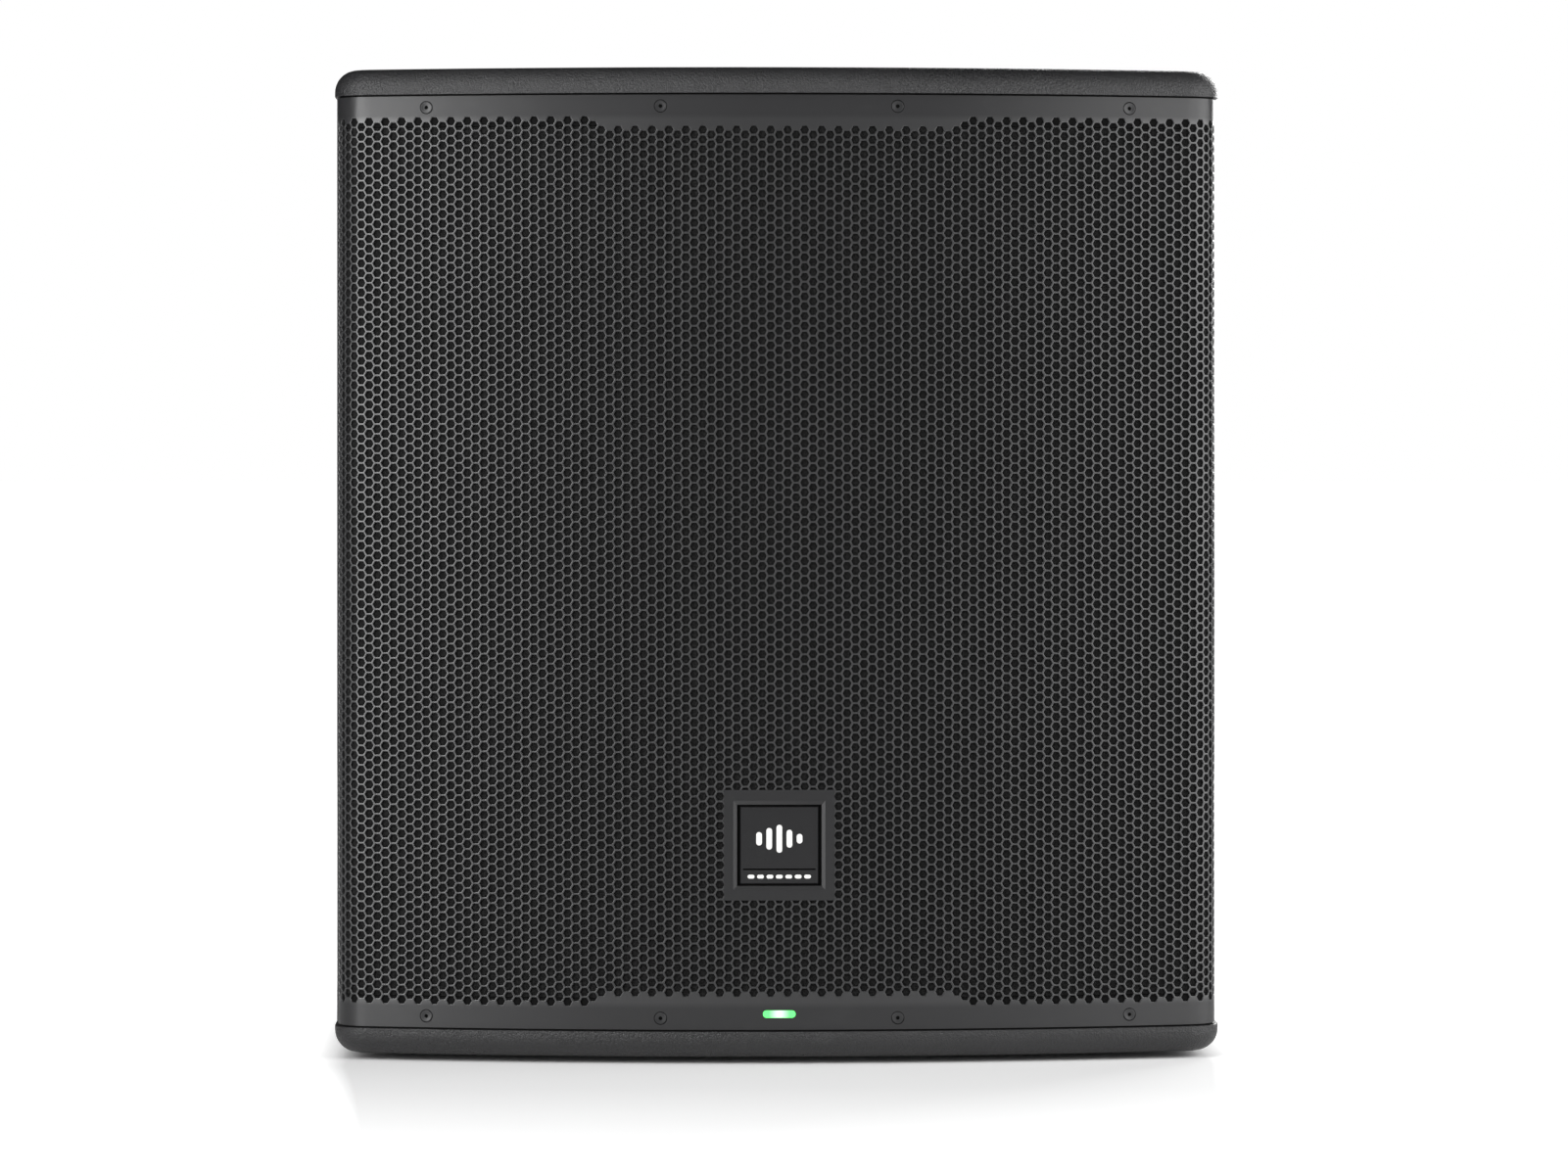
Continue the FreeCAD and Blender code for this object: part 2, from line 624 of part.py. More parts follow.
def handle_screws():
    screws = []
    for y, z in handle_screw_places():
        screw = countersunk(2.0, 4.0, 2.0, 14)
        screw.rotate(vec(0, 0, 0), vec(0, 1, 0), 90)
        screw.translate(vec(HALF_WIDTH - 0.2, y, z))
        screws.append(screw)
    return Part.makeCompound(screws + [mirrored(s) for s in screws])


def rubber_feet():
    """Round feet let into the bottom panel, each hollowed out for its screw's head."""
    top = FOOT_HEIGHT + FOOT_RECESS
    feet = []
    for x, y in foot_places():
        tread = Part.makeCone(FOOT_R - 1.5, FOOT_R, FOOT_HEIGHT, vec(x, y, 0))
        tread = tread.makeFillet(1.2, [e for e in tread.Edges if e.CenterOfMass.z < 0.1 and len(e.Vertexes) == 1])
        foot = fused([tread, rod_z(FOOT_R, x, y, (FOOT_HEIGHT, top))])
        foot = foot.cut(rod_z(7, x, y, (-1, 5))).cut(rod_z(2.5, x, y, (0, top)))
        feet.append(foot)
    return Part.makeCompound(feet)


def foot_screws():
    screws = []
    for x, y in foot_places():
        head = rod_z(5.5, x, y, (2.6, 5)).cut(rod_z(2, x, y, (2, 4)))
        screws.append(fused([head, rod_z(2.5, x, y, (4.9, FLOOR_Z - 2))]))
    return Part.makeCompound(screws)


# --- amplifier panel ------------------------------------------------------------------------------------
def panel_screw_places():
    places = [(sx * PANEL_SCREW_X, z) for sx in (-1, 1) for z in PANEL_SCREW_Z]
    return places + [(x, z) for x in (-42, 42) for z in (PANEL_SCREW_Z[0], PANEL_SCREW_Z[-1])]


def amp_gasket():
    y = (REAR_PANEL_Y[1], PANEL_Y)
    gasket = block((-PANEL_HALF, PANEL_HALF), y, PANEL_Z)
    gasket = gasket.cut(block((-CUTOUT_HALF, CUTOUT_HALF), y, CUTOUT_Z))
    for x, z in panel_screw_places():
        gasket = gasket.cut(rod_y(1.8, x, z, y))
    return gasket


def amp_plate():
    y = (PANEL_Y, PANEL_FACE_Y)
    plate = block((-PANEL_HALF, PANEL_HALF), y, PANEL_Z)
    plate = plate.makeFillet(8, edges_along_y(plate, lambda x, z: True))
    for x, z in panel_screw_places():
        plate = plate.cut(rod_y(1.8, x, z, y))
        plate = plate.cut(Part.makeCone(1.8, 3.9, 2.1, vec(x, PANEL_FACE_Y - 2.1, z), vec(0, 1, 0)))
    for x in SOCKET_X:
        plate = plate.cut(rod_y(12.1, x, INPUT_Z, y)).cut(rod_y(12.1, x, OUTPUT_Z, y))
    plate = plate.cut(rod_y(4.6, 0, KNOB_Z, y))
    plate = plate.cut(block((-33, 33), y, (DISPLAY_Z - 19, DISPLAY_Z + 19)))
    plate = plate.cut(block((MAINS_X - 13.6, MAINS_X + 13.6), y, (MAINS_Z - 9.8, MAINS_Z + 9.8)))
    return plate.cut(block((SWITCH_X - 8.2, SWITCH_X + 8.2), y, (MAINS_Z - 13.7, MAINS_Z + 13.7)))


def amp_screws():
    screws = []
    for x, z in panel_screw_places():
        screw = countersunk(1.8, 3.7, 1.9, 18)
        screw.rotate(vec(0, 0, 0), vec(1, 0, 0), -90)
        screw.translate(vec(x, PANEL_FACE_Y - 0.2, z))
        screws.append(screw)
    return Part.makeCompound(screws)


def heat_sinks():
    """Finned bars down both sides of the plate."""
    low, high = HEAT_SINK_X
    pieces = [block((low, high), (PANEL_FACE_Y, PANEL_FACE_Y + 3), HEAT_SINK_Z)]
    fins, fin = 7, 1.8
    for i in range(fins):
        x = low + (high - low - fin) * i / (fins - 1)
        pieces.append(block((x, x + fin), (PANEL_FACE_Y + 3, PANEL_FACE_Y + 15), HEAT_SINK_Z))
    sink = fused(pieces)
    return Part.makeCompound([sink, mirrored(sink)])


def amp_cover():
    """Open-fronted tin behind the plate that keeps the box's air off the circuit boards."""
    outer = block((-108, 108), (246, PANEL_Y), (197, 563))
    inner = block((-106.5, 106.5), (247.5, PANEL_Y), (198.5, 561.5))
    shell = outer.cut(inner)
    shell = shell.cut(rod_y(5, 60, 290, (245, 248)))
    return shell.cut(rod_y(4, -60, 240, (245, 248)))


def amp_board():
    """Power amplifier board with its coils."""
    board = block((-98, 98), (278, 279.6), (205, 555))
    coils = [ring_y(17, 8, x, 420, (262, 278)) for x in (-50, 50)]
    bars = [block((x - 12, x + 12), (268, 278), (330, 380)) for x in (-70, 70)]
    return fused([board] + coils + bars)


def power_transformer():
    core = block((-75, -25), (252, 278), (226, 286))
    return fused([core, block((-66, -34), (249.5, 278), (218, 294))])


def filter_capacitors():
    cans = [rod_y(13, x, z, (252, 278)) for x in (22, 76) for z in (236, 268)]
    return Part.makeCompound([c.makeFillet(1.5, c.Edges[:1]) for c in cans])


def input_board():
    return block((-72, 72), (306.4, 308), (330, 552))


def board_standoffs():
    """Pillars between the boards and the plate."""
    posts = [rod_y(3, x, z, (308, PANEL_Y)) for x in (-66, 66) for z in (336, 546)]
    posts += [rod_y(3.5, x, z, (279.6, PANEL_Y)) for x in (-92, 92) for z in (212, 300, 548)]
    return Part.makeCompound(posts)


def display_window():
    window = block((-36, 36), (PANEL_FACE_Y, PANEL_FACE_Y + 2), (DISPLAY_Z - 22, DISPLAY_Z + 22))
    window = window.makeFillet(4, edges_along_y(window, lambda x, z: True))
    front = [e for e in window.Edges if abs(e.CenterOfMass.y - PANEL_FACE_Y - 2) < 1e-3]
    return window.makeChamfer(0.6, front)


def display_module():
    return block((-32, 32), (327, PANEL_FACE_Y - 0.6), (DISPLAY_Z - 18, DISPLAY_Z + 18))


def encoder_body():
    """Rotary encoder with a threaded neck through the plate."""
    body = block((-7, 7), (319, 329), (KNOB_Z - 7, KNOB_Z + 7))
    body = fused([body, rod_y(4.5, 0, KNOB_Z, (329, 338))])
    nut = rod_y(6.5, 0, KNOB_Z, (PANEL_FACE_Y, PANEL_FACE_Y + 1.2))
    return fused([body, nut]).cut(rod_y(3.05, 0, KNOB_Z, (321, 338)))


def encoder_plunger():
    return rod_y(2.9, 0, KNOB_Z, (322.6, 324))


def encoder_shaft():
    return rod_y(3.0, 0, KNOB_Z, (324, 351))


def encoder_knob():
    """Fluted knob with a pointer groove."""
    knob = Part.makeCone(16, 14.6, 14, vec(0, 339.6, KNOB_Z), vec(0, 1, 0))
    knob = knob.makeFillet(1.2, [e for e in knob.Edges if abs(e.CenterOfMass.y - 353.6) < 1e-3])
    for i in range(18):
        angle = math.radians(20 * i)
        x, z = 16.6 * math.cos(angle), KNOB_Z + 16.6 * math.sin(angle)
        knob = knob.cut(rod_y(1.5, x, z, (341.5, 355)))
    knob = knob.cut(block((-0.7, 0.7), (353, 355), (KNOB_Z + 6, KNOB_Z + 13)))
    return knob.cut(rod_y(3.0, 0, KNOB_Z, (339, 351)))


def socket_flange(x, z, hole_r):
    """Rounded connector plate with two screw dimples, fixed to the panel's face."""
    plate = block((x - 13, x + 13), (PANEL_FACE_Y, PANEL_FACE_Y + 2), (z - 15.5, z + 15.5))
    plate = plate.makeFillet(3, edges_along_y(plate, lambda px, pz: True))
    plate = plate.cut(rod_y(hole_r, x, z, (PANEL_FACE_Y, PANEL_FACE_Y + 2)))
    for sx, sz in ((-1, 1), (1, -1)):
        dimple = rod_y(2.4, x + 9.7 * sx, z + 12.2 * sz, (PANEL_FACE_Y + 1, PANEL_FACE_Y + 2))
        plate = plate.cut(dimple)
    return plate


def input_sockets():
    """Combination sockets: a round shell with a centre insert for a 6.35 mm jack."""
    sockets = []
    for x in SOCKET_X:
        shell = ring_y(12, 9.7, x, INPUT_Z, (312, PANEL_FACE_Y))
        back = rod_y(12, x, INPUT_Z, (309.5, 312))
        insert = ring_y(7.9, 3.25, x, INPUT_Z, (312, PANEL_FACE_Y + 1.5))
        for angle in (90, 210, 330):
            px = x + 5.6 * math.cos(math.radians(angle))
            pz = INPUT_Z + 5.6 * math.sin(math.radians(angle))
            insert = insert.cut(rod_y(1.2, px, pz, (326, PANEL_FACE_Y + 2)))
        body = fused([socket_flange(x, INPUT_Z, 9.7), shell, back, insert])
        slot = block((x - 4, x + 4), (PANEL_FACE_Y, PANEL_FACE_Y + 2), (INPUT_Z + 9, INPUT_Z + 14.2))
        sockets.append(body.cut(slot))
    return Part.makeCompound(sockets)


def input_latch(x):
    """Release tab above a combination socket."""
    tab = block((x - 3.8, x + 3.8), (PANEL_FACE_Y + 1.7, PANEL_FACE_Y + 5), (INPUT_Z + 10.4, INPUT_Z + 14))
    front = [e for e in tab.Edges if abs(e.CenterOfMass.y - PANEL_FACE_Y - 5) < 1e-3]
    return tab.makeFillet(1.0, front)


def output_sockets():
    """Round cups with three pins each, for the signal's way on."""
    sockets = []
    for x in SOCKET_X:
        shell = ring_y(12, 9.6, x, OUTPUT_Z, (317, PANEL_FACE_Y))
        back = rod_y(12, x, OUTPUT_Z, (314, 317))
        for px, pz in pin_places(x):
            back = back.cut(rod_y(1.2, px, pz, (314, 317)))
        sockets.append(fused([socket_flange(x, OUTPUT_Z, 9.6), shell, back]))
    return Part.makeCompound(sockets)


def pin_places(x):
    """(x, z) of the three pins in an output socket."""
    places = []
    for angle in (30, 150, 270):
        t = math.radians(angle)
        places.append((x + 4.3 * math.cos(t), OUTPUT_Z + 4.3 * math.sin(t)))
    return places


def blade_places():
    """(x, z) of the mains inlet's blades."""
    return [(MAINS_X - 7, MAINS_Z - 2), (MAINS_X + 7, MAINS_Z - 2), (MAINS_X, MAINS_Z + 2.5)]


def contact_pins():
    pins = [rod_y(1.2, px, pz, (312, 327)) for x in SOCKET_X for px, pz in pin_places(x)]
    for x, z in blade_places():
        pins.append(block((x - 1, x + 1), (316, 333), (z - 2, z + 2)))
    return Part.makeCompound(pins)


def power_inlet():
    """Mains inlet with a keyed hollow, on a flange with two screw dimples."""
    body = block((MAINS_X - 13.5, MAINS_X + 13.5), (318.5, PANEL_FACE_Y), (MAINS_Z - 9.7, MAINS_Z + 9.7))
    flange = block((MAINS_X - 25, MAINS_X + 25), (PANEL_FACE_Y, PANEL_FACE_Y + 2.5), (MAINS_Z - 12, MAINS_Z + 12))
    flange = flange.makeFillet(4, edges_along_y(flange, lambda x, z: True))
    inlet = fused([body, flange])
    hollow = block((MAINS_X - 12.2, MAINS_X + 12.2), (322, PANEL_FACE_Y + 3), (MAINS_Z - 8.2, MAINS_Z + 8.2))
    hollow = hollow.makeChamfer(4.0, edges_along_y(hollow, lambda x, z: z > MAINS_Z))
    inlet = inlet.cut(hollow)
    for x, z in blade_places():
        inlet = inlet.cut(block((x - 1, x + 1), (316, 323), (z - 2, z + 2)))
    for sx in (-1, 1):
        dimple = rod_y(2.4, MAINS_X + 19.5 * sx, MAINS_Z, (PANEL_FACE_Y + 1.2, PANEL_FACE_Y + 2.5))
        inlet = inlet.cut(dimple)
    return inlet


def switch_housing():
    body = block((SWITCH_X - 8, SWITCH_X + 8), (317, PANEL_FACE_Y), (MAINS_Z - 13.5, MAINS_Z + 13.5))
    flange = block((SWITCH_X - 11, SWITCH_X + 11), (PANEL_FACE_Y, PANEL_FACE_Y + 2), (MAINS_Z - 16, MAINS_Z + 16))
    flange = flange.makeFillet(2, edges_along_y(flange, lambda x, z: True))
    well = block((SWITCH_X - 6.5, SWITCH_X + 6.5), (320, PANEL_FACE_Y + 3), (MAINS_Z - 12.4, MAINS_Z + 12.4))
    housing = fused([body, flange]).cut(well)
    for side in (-1, 1):
        x = sorted((SWITCH_X + side * 6.5, SWITCH_X + side * 7.5))
        housing = housing.cut(rod_x(1.55, SWITCH_PIVOT_Y, MAINS_Z, x))
    return housing


def switch_rocker():
    """Rocker lying in its on position, with trunnions in the housing's sides."""
    outline = [(-11.6, 3.4), (0, 1.6), (11.6, 3.4), (11.0, -2.5), (4, -8), (-4, -8), (-11.0, -2.5)]
    points = [vec(SWITCH_X - 6.2, SWITCH_PIVOT_Y + dy, MAINS_Z + dz) for dz, dy in outline]
    rocker = Part.Face(Part.makePolygon(points + [points[0]])).extrude(vec(12.4, 0, 0))
    pins = rod_x(1.5, SWITCH_PIVOT_Y, MAINS_Z, (SWITCH_X - 7.4, SWITCH_X + 7.4))
    rocker = fused([rocker, pins])
    rocker.rotate(vec(SWITCH_X, SWITCH_PIVOT_Y, MAINS_Z), vec(1, 0, 0), ROCKER_TILT)
    return rocker


# --- inner cables ---------------------------------------------------------------------------------------
def bent_path(points):
    """Straight runs joined by tangent arcs, each as large as its two runs allow."""
    edges = []
    start = points[0]
    radii = []
    for i in range(1, len(points) - 1):
        before = points[i] - points[i - 1]
        after = points[i + 1] - points[i]
        turn = before.getAngle(after)
        trim = 0.45 * min(before.Length, after.Length)
        radii.append(trim / math.tan(turn / 2))
        enter = points[i] - before.normalize() * trim
        leave = points[i] + after.normalize() * trim
        toward = ((enter + leave) * 0.5 - points[i]).normalize()
        reach = radii[-1] / math.cos(turn / 2) - radii[-1]
        edges.append(Part.LineSegment(start, enter).toShape())
        edges.append(Part.Arc(enter, points[i] + toward * reach, leave).toShape())
        start = leave
    edges.append(Part.LineSegment(start, points[-1]).toShape())
    return Part.Wire(edges), radii


def cable(radius, points):
    path, radii = bent_path([vec(*p) for p in points])
    first = path.Edges[0]
    circle = Part.Wire([Part.makeCircle(radius, first.Vertexes[0].Point, first.tangentAt(first.FirstParameter))])
    tube = path.makePipeShell([circle], True, True)
    share = tube.Volume / (math.pi * radius * radius * path.Length)
    print("cable length", round(path.Length, 1), "volume share", round(share, 3),
          "least radius", round(min(radii), 1))
    return tube


def inner_cables():
    """The woofer's lead and the status light's lead."""
    woofer_lead = cable(2.8, [(60, 247.5, 290), (60, 212, 288), (56, 172, 268), (50, 130, 246), (47, 84, 236),
                              (40, 36, 233), (30, -12, 229), (20, -58, 230), (12, -100, 236), (7, -138, 246),
                              (4, -172, 250)])
    light_lead = cable(1.7, [(0, -320, LIGHT_Z), (0, -276, LIGHT_Z + 0.5), (-4, -236, 40), (-14, -194, 51),
                             (-30, -152, 64), (-46, -108, 80), (-56, -60, 96), (-62, -8, 110),
                             (-66, 44, 122), (-68, 94, 138), (-68, 140, 162), (-64, 182, 196),
                             (-60, 212, 226), (-60, 247.5, 240)])
    return Part.makeCompound([woofer_lead, light_lead])


def all_nodes():
    right_side = side_panel()
    right_handle = handle()
    return {
        "top_panel": top_panel(),
        "bottom_panel": bottom_panel(),
        "right_side_panel": right_side,
        "left_side_panel": mirrored(right_side),
        "rear_panel": rear_panel(),
        "front_baffle": front_baffle(),
        "window_brace": window_brace(),
        "grille": grille(),
        "grille_foam": grille_foam(),
        "grille_screws": grille_screws(),
        "grille_battens": grille_battens(),
        "badge_frame": badge_frame(),
        "badge_plate": badge_plate(),
        "status_light_lens": status_light_lens(),
        "status_light_board": status_light_board(),
        "pole_socket": pole_socket(),
        "pole_socket_screws": pole_socket_screws(),
        "right_handle": right_handle,
        "left_handle": mirrored(right_handle),
        "handle_screws": handle_screws(),
        "rubber_feet": rubber_feet(),
        "foot_screws": foot_screws(),
        "woofer_basket": woofer_basket(),
        "woofer_gasket": woofer_gasket(),
        "woofer_surround": woofer_surround(),
        "woofer_cone": woofer_cone(),
        "woofer_dust_cap": woofer_dust_cap(),
        "woofer_voice_coil": woofer_voice_coil(),
        "woofer_spider": woofer_spider(),
        "woofer_front_plate": woofer_front_plate(),
        "woofer_magnet": woofer_magnet(),
        "woofer_pole_yoke": woofer_pole_yoke(),
        "woofer_terminals": woofer_terminals(),
        "woofer_bolts": woofer_bolts(),
        "port_tubes": port_tubes(),
        "amp_plate": amp_plate(),
        "amp_gasket": amp_gasket(),
        "amp_screws": amp_screws(),
        "heat_sinks": heat_sinks(),
        "amp_cover": amp_cover(),
        "amp_board": amp_board(),
        "input_board": input_board(),
        "power_transformer": power_transformer(),
        "filter_capacitors": filter_capacitors(),
        "board_standoffs": board_standoffs(),
        "display_window": display_window(),
        "display_module": display_module(),
        "encoder_body": encoder_body(),
        "encoder_plunger": encoder_plunger(),
        "encoder_shaft": encoder_shaft(),
        "encoder_knob": encoder_knob(),
        "input_sockets": input_sockets(),
        "left_input_latch": input_latch(SOCKET_X[0]),
        "right_input_latch": input_latch(SOCKET_X[1]),
        "output_sockets": output_sockets(),
        "contact_pins": contact_pins(),
        "power_inlet": power_inlet(),
        "switch_housing": switch_housing(),
        "switch_rocker": switch_rocker(),
        "inner_cables": inner_cables(),
    }


def main():
    os.makedirs("parts", exist_ok=True)
    for name, shape in all_nodes().items():
        volume = sum(s.Volume for s in shape.Solids)
        if not shape.isValid() or not shape.Solids or volume <= 0:
            print("faulty node", name, shape.isValid(), len(shape.Solids), volume)
        shape.exportStep(os.path.join("parts", name + ".step"))


main()
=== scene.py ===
"""Finish and surroundings of a powered 18-inch subwoofer cabinet, in metres, in the frame of its design."""

import json
import math

import bmesh
import bpy
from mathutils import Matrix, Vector
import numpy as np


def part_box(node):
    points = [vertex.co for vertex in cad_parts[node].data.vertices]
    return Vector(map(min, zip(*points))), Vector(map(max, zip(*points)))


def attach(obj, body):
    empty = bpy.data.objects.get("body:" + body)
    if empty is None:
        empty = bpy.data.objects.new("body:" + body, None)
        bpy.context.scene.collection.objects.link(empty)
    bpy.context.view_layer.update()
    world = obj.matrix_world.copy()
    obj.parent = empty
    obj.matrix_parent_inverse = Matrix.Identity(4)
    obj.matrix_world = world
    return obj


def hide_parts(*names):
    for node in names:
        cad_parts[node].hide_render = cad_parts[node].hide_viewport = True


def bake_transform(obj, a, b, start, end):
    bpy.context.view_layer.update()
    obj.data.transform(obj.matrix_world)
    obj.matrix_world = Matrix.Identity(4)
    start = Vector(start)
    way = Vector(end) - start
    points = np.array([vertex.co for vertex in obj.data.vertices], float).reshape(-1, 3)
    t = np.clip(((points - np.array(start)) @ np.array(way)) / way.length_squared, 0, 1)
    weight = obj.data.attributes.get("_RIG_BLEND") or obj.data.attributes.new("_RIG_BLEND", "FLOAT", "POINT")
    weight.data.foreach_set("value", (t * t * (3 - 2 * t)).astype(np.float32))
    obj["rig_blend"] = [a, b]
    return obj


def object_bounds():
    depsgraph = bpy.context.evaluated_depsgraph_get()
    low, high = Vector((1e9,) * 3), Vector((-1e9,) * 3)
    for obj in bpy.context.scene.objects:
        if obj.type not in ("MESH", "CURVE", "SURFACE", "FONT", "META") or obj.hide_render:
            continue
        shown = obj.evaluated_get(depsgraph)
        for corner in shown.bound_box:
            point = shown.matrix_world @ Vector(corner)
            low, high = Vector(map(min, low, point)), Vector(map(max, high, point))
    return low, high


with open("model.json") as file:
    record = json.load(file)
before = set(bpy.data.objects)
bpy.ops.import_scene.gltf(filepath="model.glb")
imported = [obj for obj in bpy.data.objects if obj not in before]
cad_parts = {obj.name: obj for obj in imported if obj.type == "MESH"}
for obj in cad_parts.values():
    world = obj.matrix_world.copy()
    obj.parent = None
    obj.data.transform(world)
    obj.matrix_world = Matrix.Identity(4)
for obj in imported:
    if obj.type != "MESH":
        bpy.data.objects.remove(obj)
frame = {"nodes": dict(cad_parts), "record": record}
DESIGN_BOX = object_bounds()

# --- sizes --------------------------------------------------------------------------------------------
MM = 0.001
HALF_WIDTH = DESIGN_BOX[1].x
FRONT_Y = DESIGN_BOX[0].y
BOW_RADIUS = 1100 * MM          # front edge of the cabinet seen from above
FRONT_CORNER = 28 * MM          # its front corners
GRILLE_LOW, GRILLE_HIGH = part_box("grille")
GRILLE_INSET = HALF_WIDTH - GRILLE_HIGH.x
GRILLE_MIDDLE_Z = (GRILLE_LOW.z + GRILLE_HIGH.z) / 2
GRILLE_SHEET = 1.5 * MM
GRILLE_FACE_Y = FRONT_Y + GRILLE_INSET
HOLE_PITCH = 6.6 * MM
HOLE_COLUMNS = 119
HOLE_ROWS = 91
PATTERN_Z = GRILLE_MIDDLE_Z + 0.7 * MM
SIDE_REACH = 297.1 * MM         # furthest hole row from the pattern's middle, towards the corners
CENTRE_REACH = 290.5 * MM       # the same over the middle of the front
CENTRE_HALF = 123 * MM          # half the width of that middle stretch, which is also one section
WEB_FLAT = 0.5 * MM             # from the middle of a web to its rounded edge
WEB_EDGE = 0.1 * MM             # width and depth of that edge
BADGE_SQUARE = 74.4 * MM
BADGE_SHEET = 0.4 * MM
BADGE_FRAME = (62 * MM, 60 * MM)
BADGE_CREST = 2.0 * MM          # height of the frame's crest above the grille
BADGE_PLATE = (52.4 * MM, 51.8 * MM)
PLATE_TOP = 1.4 * MM
SCREW_X = (-240 * MM, -80 * MM, 80 * MM, 240 * MM)
SCREW_EDGE = 7.7 * MM           # from the grille's top and bottom edges
WOOFER_Z = 396 * MM
CONE_EDGE, RIM_EDGE = 179 * MM, 216 * MM    # radii between which the surround runs
ROLL_MIDDLE, ROLL_R = 197.5 * MM, 10.4 * MM
SURROUND_Y = -302.6 * MM
HELD_BEYOND, MOVING_WITHIN = 208.5 * MM, 186.5 * MM     # radii where the surround stops following
SPIDER_INNER, SPIDER_OUTER = 39 * MM, 94 * MM       # radii of the spider's waves
SPIDER_NECK, SPIDER_SHOULDER, SPIDER_LIP = 38.3 * MM, 97 * MM, 7 * MM
SPIDER_Y, SPIDER_RIM_Y = -203.9 * MM, -203.35 * MM
SPIDER_WAVES, SPIDER_WAVE_STEPS = 6, 8
PANEL_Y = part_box("amp_plate")[1].y
RULE_ROWS = (437 * MM, 378 * MM, 326 * MM, 262 * MM)
INPUT_ROW, OUTPUT_ROW = 404 * MM, 352 * MM
NOTE_ROWS = (300 * MM, 292 * MM, 284 * MM)
KNOB_LOW, KNOB_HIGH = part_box("encoder_knob")
KNOB_Z = (KNOB_LOW.z + KNOB_HIGH.z) / 2
DISPLAY_Z = (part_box("display_module")[0].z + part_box("display_module")[1].z) / 2
DISPLAY_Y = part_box("display_module")[1].y
SWITCH_LOW, SWITCH_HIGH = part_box("switch_housing")
FOAM_LOW, FOAM_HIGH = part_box("grille_foam")
BADGE_LOW, BADGE_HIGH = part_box("badge_plate")
BADGE_Z = (BADGE_LOW.z + BADGE_HIGH.z) / 2
LIGHT_LOW, LIGHT_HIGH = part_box("status_light_lens")
LIGHT_Z = (LIGHT_LOW.z + LIGHT_HIGH.z) / 2

LEFT_POWER, RIGHT_POWER, SIDE_POWER, TOP_POWER, REAR_POWER = 60.0, 27.0, 42.0, 14.0, 110.0      # watts
ROOM_LIGHT = 0.02
CAMERA_X, CAMERA_Z, CAMERA_AWAY = -0.1052, 0.4006, 4.3      # metres; away is from the grille's face
CAMERA_TURN = -0.0252           # radians, to the right
LENS, LENS_SHIFT = 146.76, -0.0755
FLOOR_SIZE = 400.0
FLOOR_COLOUR = (0.9, 0.9, 0.9, 1)
# Painted shadow on the floor in front of the cabinet: share of the way out over 1.3 m, and how bright the
# floor is there.
FLOOR_PAINTED_SHADOW = ((0.03, 0.0), (0.12, 0.02), (0.25, 0.10), (0.38, 0.19), (0.5, 0.33), (0.75, 1.0))

UPRIGHT = (math.radians(90), 0, 0)      # turns a flat primitive so that it faces the front
REARWARD = (math.radians(-90), 0, 0)    # the same for the back


# --- hand tools ---------------------------------------------------------------------------------------
def select_only(piece):
    bpy.ops.object.select_all(action="DESELECT")
    piece.select_set(True)
    bpy.context.view_layer.objects.active = piece


def start(name, add, **settings):
    """Adds a primitive, names it and puts its place into its mesh."""
    bpy.ops.object.select_all(action="DESELECT")
    add(**settings)
    piece = bpy.context.object
    piece.name = name
    piece.data.name = name
    bpy.ops.object.transform_apply(location=True, rotation=True, scale=True)
    return piece


def open_edit(piece):
    select_only(piece)
    bpy.ops.object.mode_set(mode="EDIT")
    bpy.ops.mesh.select_all(action="DESELECT")


def close_edit():
    bpy.ops.object.mode_set(mode="OBJECT")


def pick_all():
    """Selects the whole of the open piece."""
    bpy.ops.mesh.select_all(action="SELECT")


def close_outwards():
    """Turns all faces of the open piece outwards and closes it."""
    pick_all()
    bpy.ops.mesh.normals_make_consistent(inside=False)
    close_edit()


def inset(thickness, depth=0.0, **settings):
    bpy.ops.mesh.inset(thickness=thickness, depth=depth, **settings)


def pick_faces(test):
    """Selects the faces that pass the test, and nothing else."""
    bpy.ops.mesh.select_mode(type="FACE")
    bpy.ops.mesh.select_all(action="DESELECT")
    data = bpy.context.edit_object.data
    mesh = bmesh.from_edit_mesh(data)
    for face in mesh.faces:
        face.select_set(bool(test(face)))
    bmesh.update_edit_mesh(data)


def pick_edges(test):
    """Selects the edges that pass the test, and nothing else."""
    bpy.ops.mesh.select_mode(type="EDGE")
    bpy.ops.mesh.select_all(action="DESELECT")
    data = bpy.context.edit_object.data
    mesh = bmesh.from_edit_mesh(data)
    for edge in mesh.edges:
        edge.select_set(bool(test(edge)))
    bmesh.update_edit_mesh(data)


def push(x=0.0, y=0.0, z=0.0):
    """Extrudes the selected faces together by a step."""
    bpy.ops.mesh.extrude_region_move(TRANSFORM_OT_translate={"value": (x, y, z)})


def apply_modifier(piece, kind, **settings):
    """Adds a modifier with its settings and applies it."""
    modifier = piece.modifiers.new(kind, kind)
    for name, value in settings.items():
        setattr(modifier, name, value)
    select_only(piece)
    bpy.ops.object.modifier_apply(modifier=modifier.name)


def array(piece, count, offset):
    apply_modifier(
        piece, "ARRAY", count=count, use_relative_offset=False, use_constant_offset=True,
        constant_offset_displace=offset, use_merge_vertices=True, merge_threshold=0.02 * MM,
    )


def smooth(piece, angle=30):
    select_only(piece)
    bpy.ops.object.shade_smooth_by_angle(angle=math.radians(angle))


def twin(piece, name):
    """A copy with a mesh of its own."""
    copy = piece.copy()
    copy.data = piece.data.copy()
    copy.name = name
    copy.data.name = name
    bpy.context.scene.collection.objects.link(copy)
    return copy


def join(pieces):
    """Joins the pieces into the first one."""
    if len(pieces) == 1:
        return pieces[0]
    bpy.ops.object.select_all(action="DESELECT")
    for piece in pieces:
        piece.select_set(True)
    bpy.context.view_layer.objects.active = pieces[0]
    bpy.ops.object.join()
    return pieces[0]


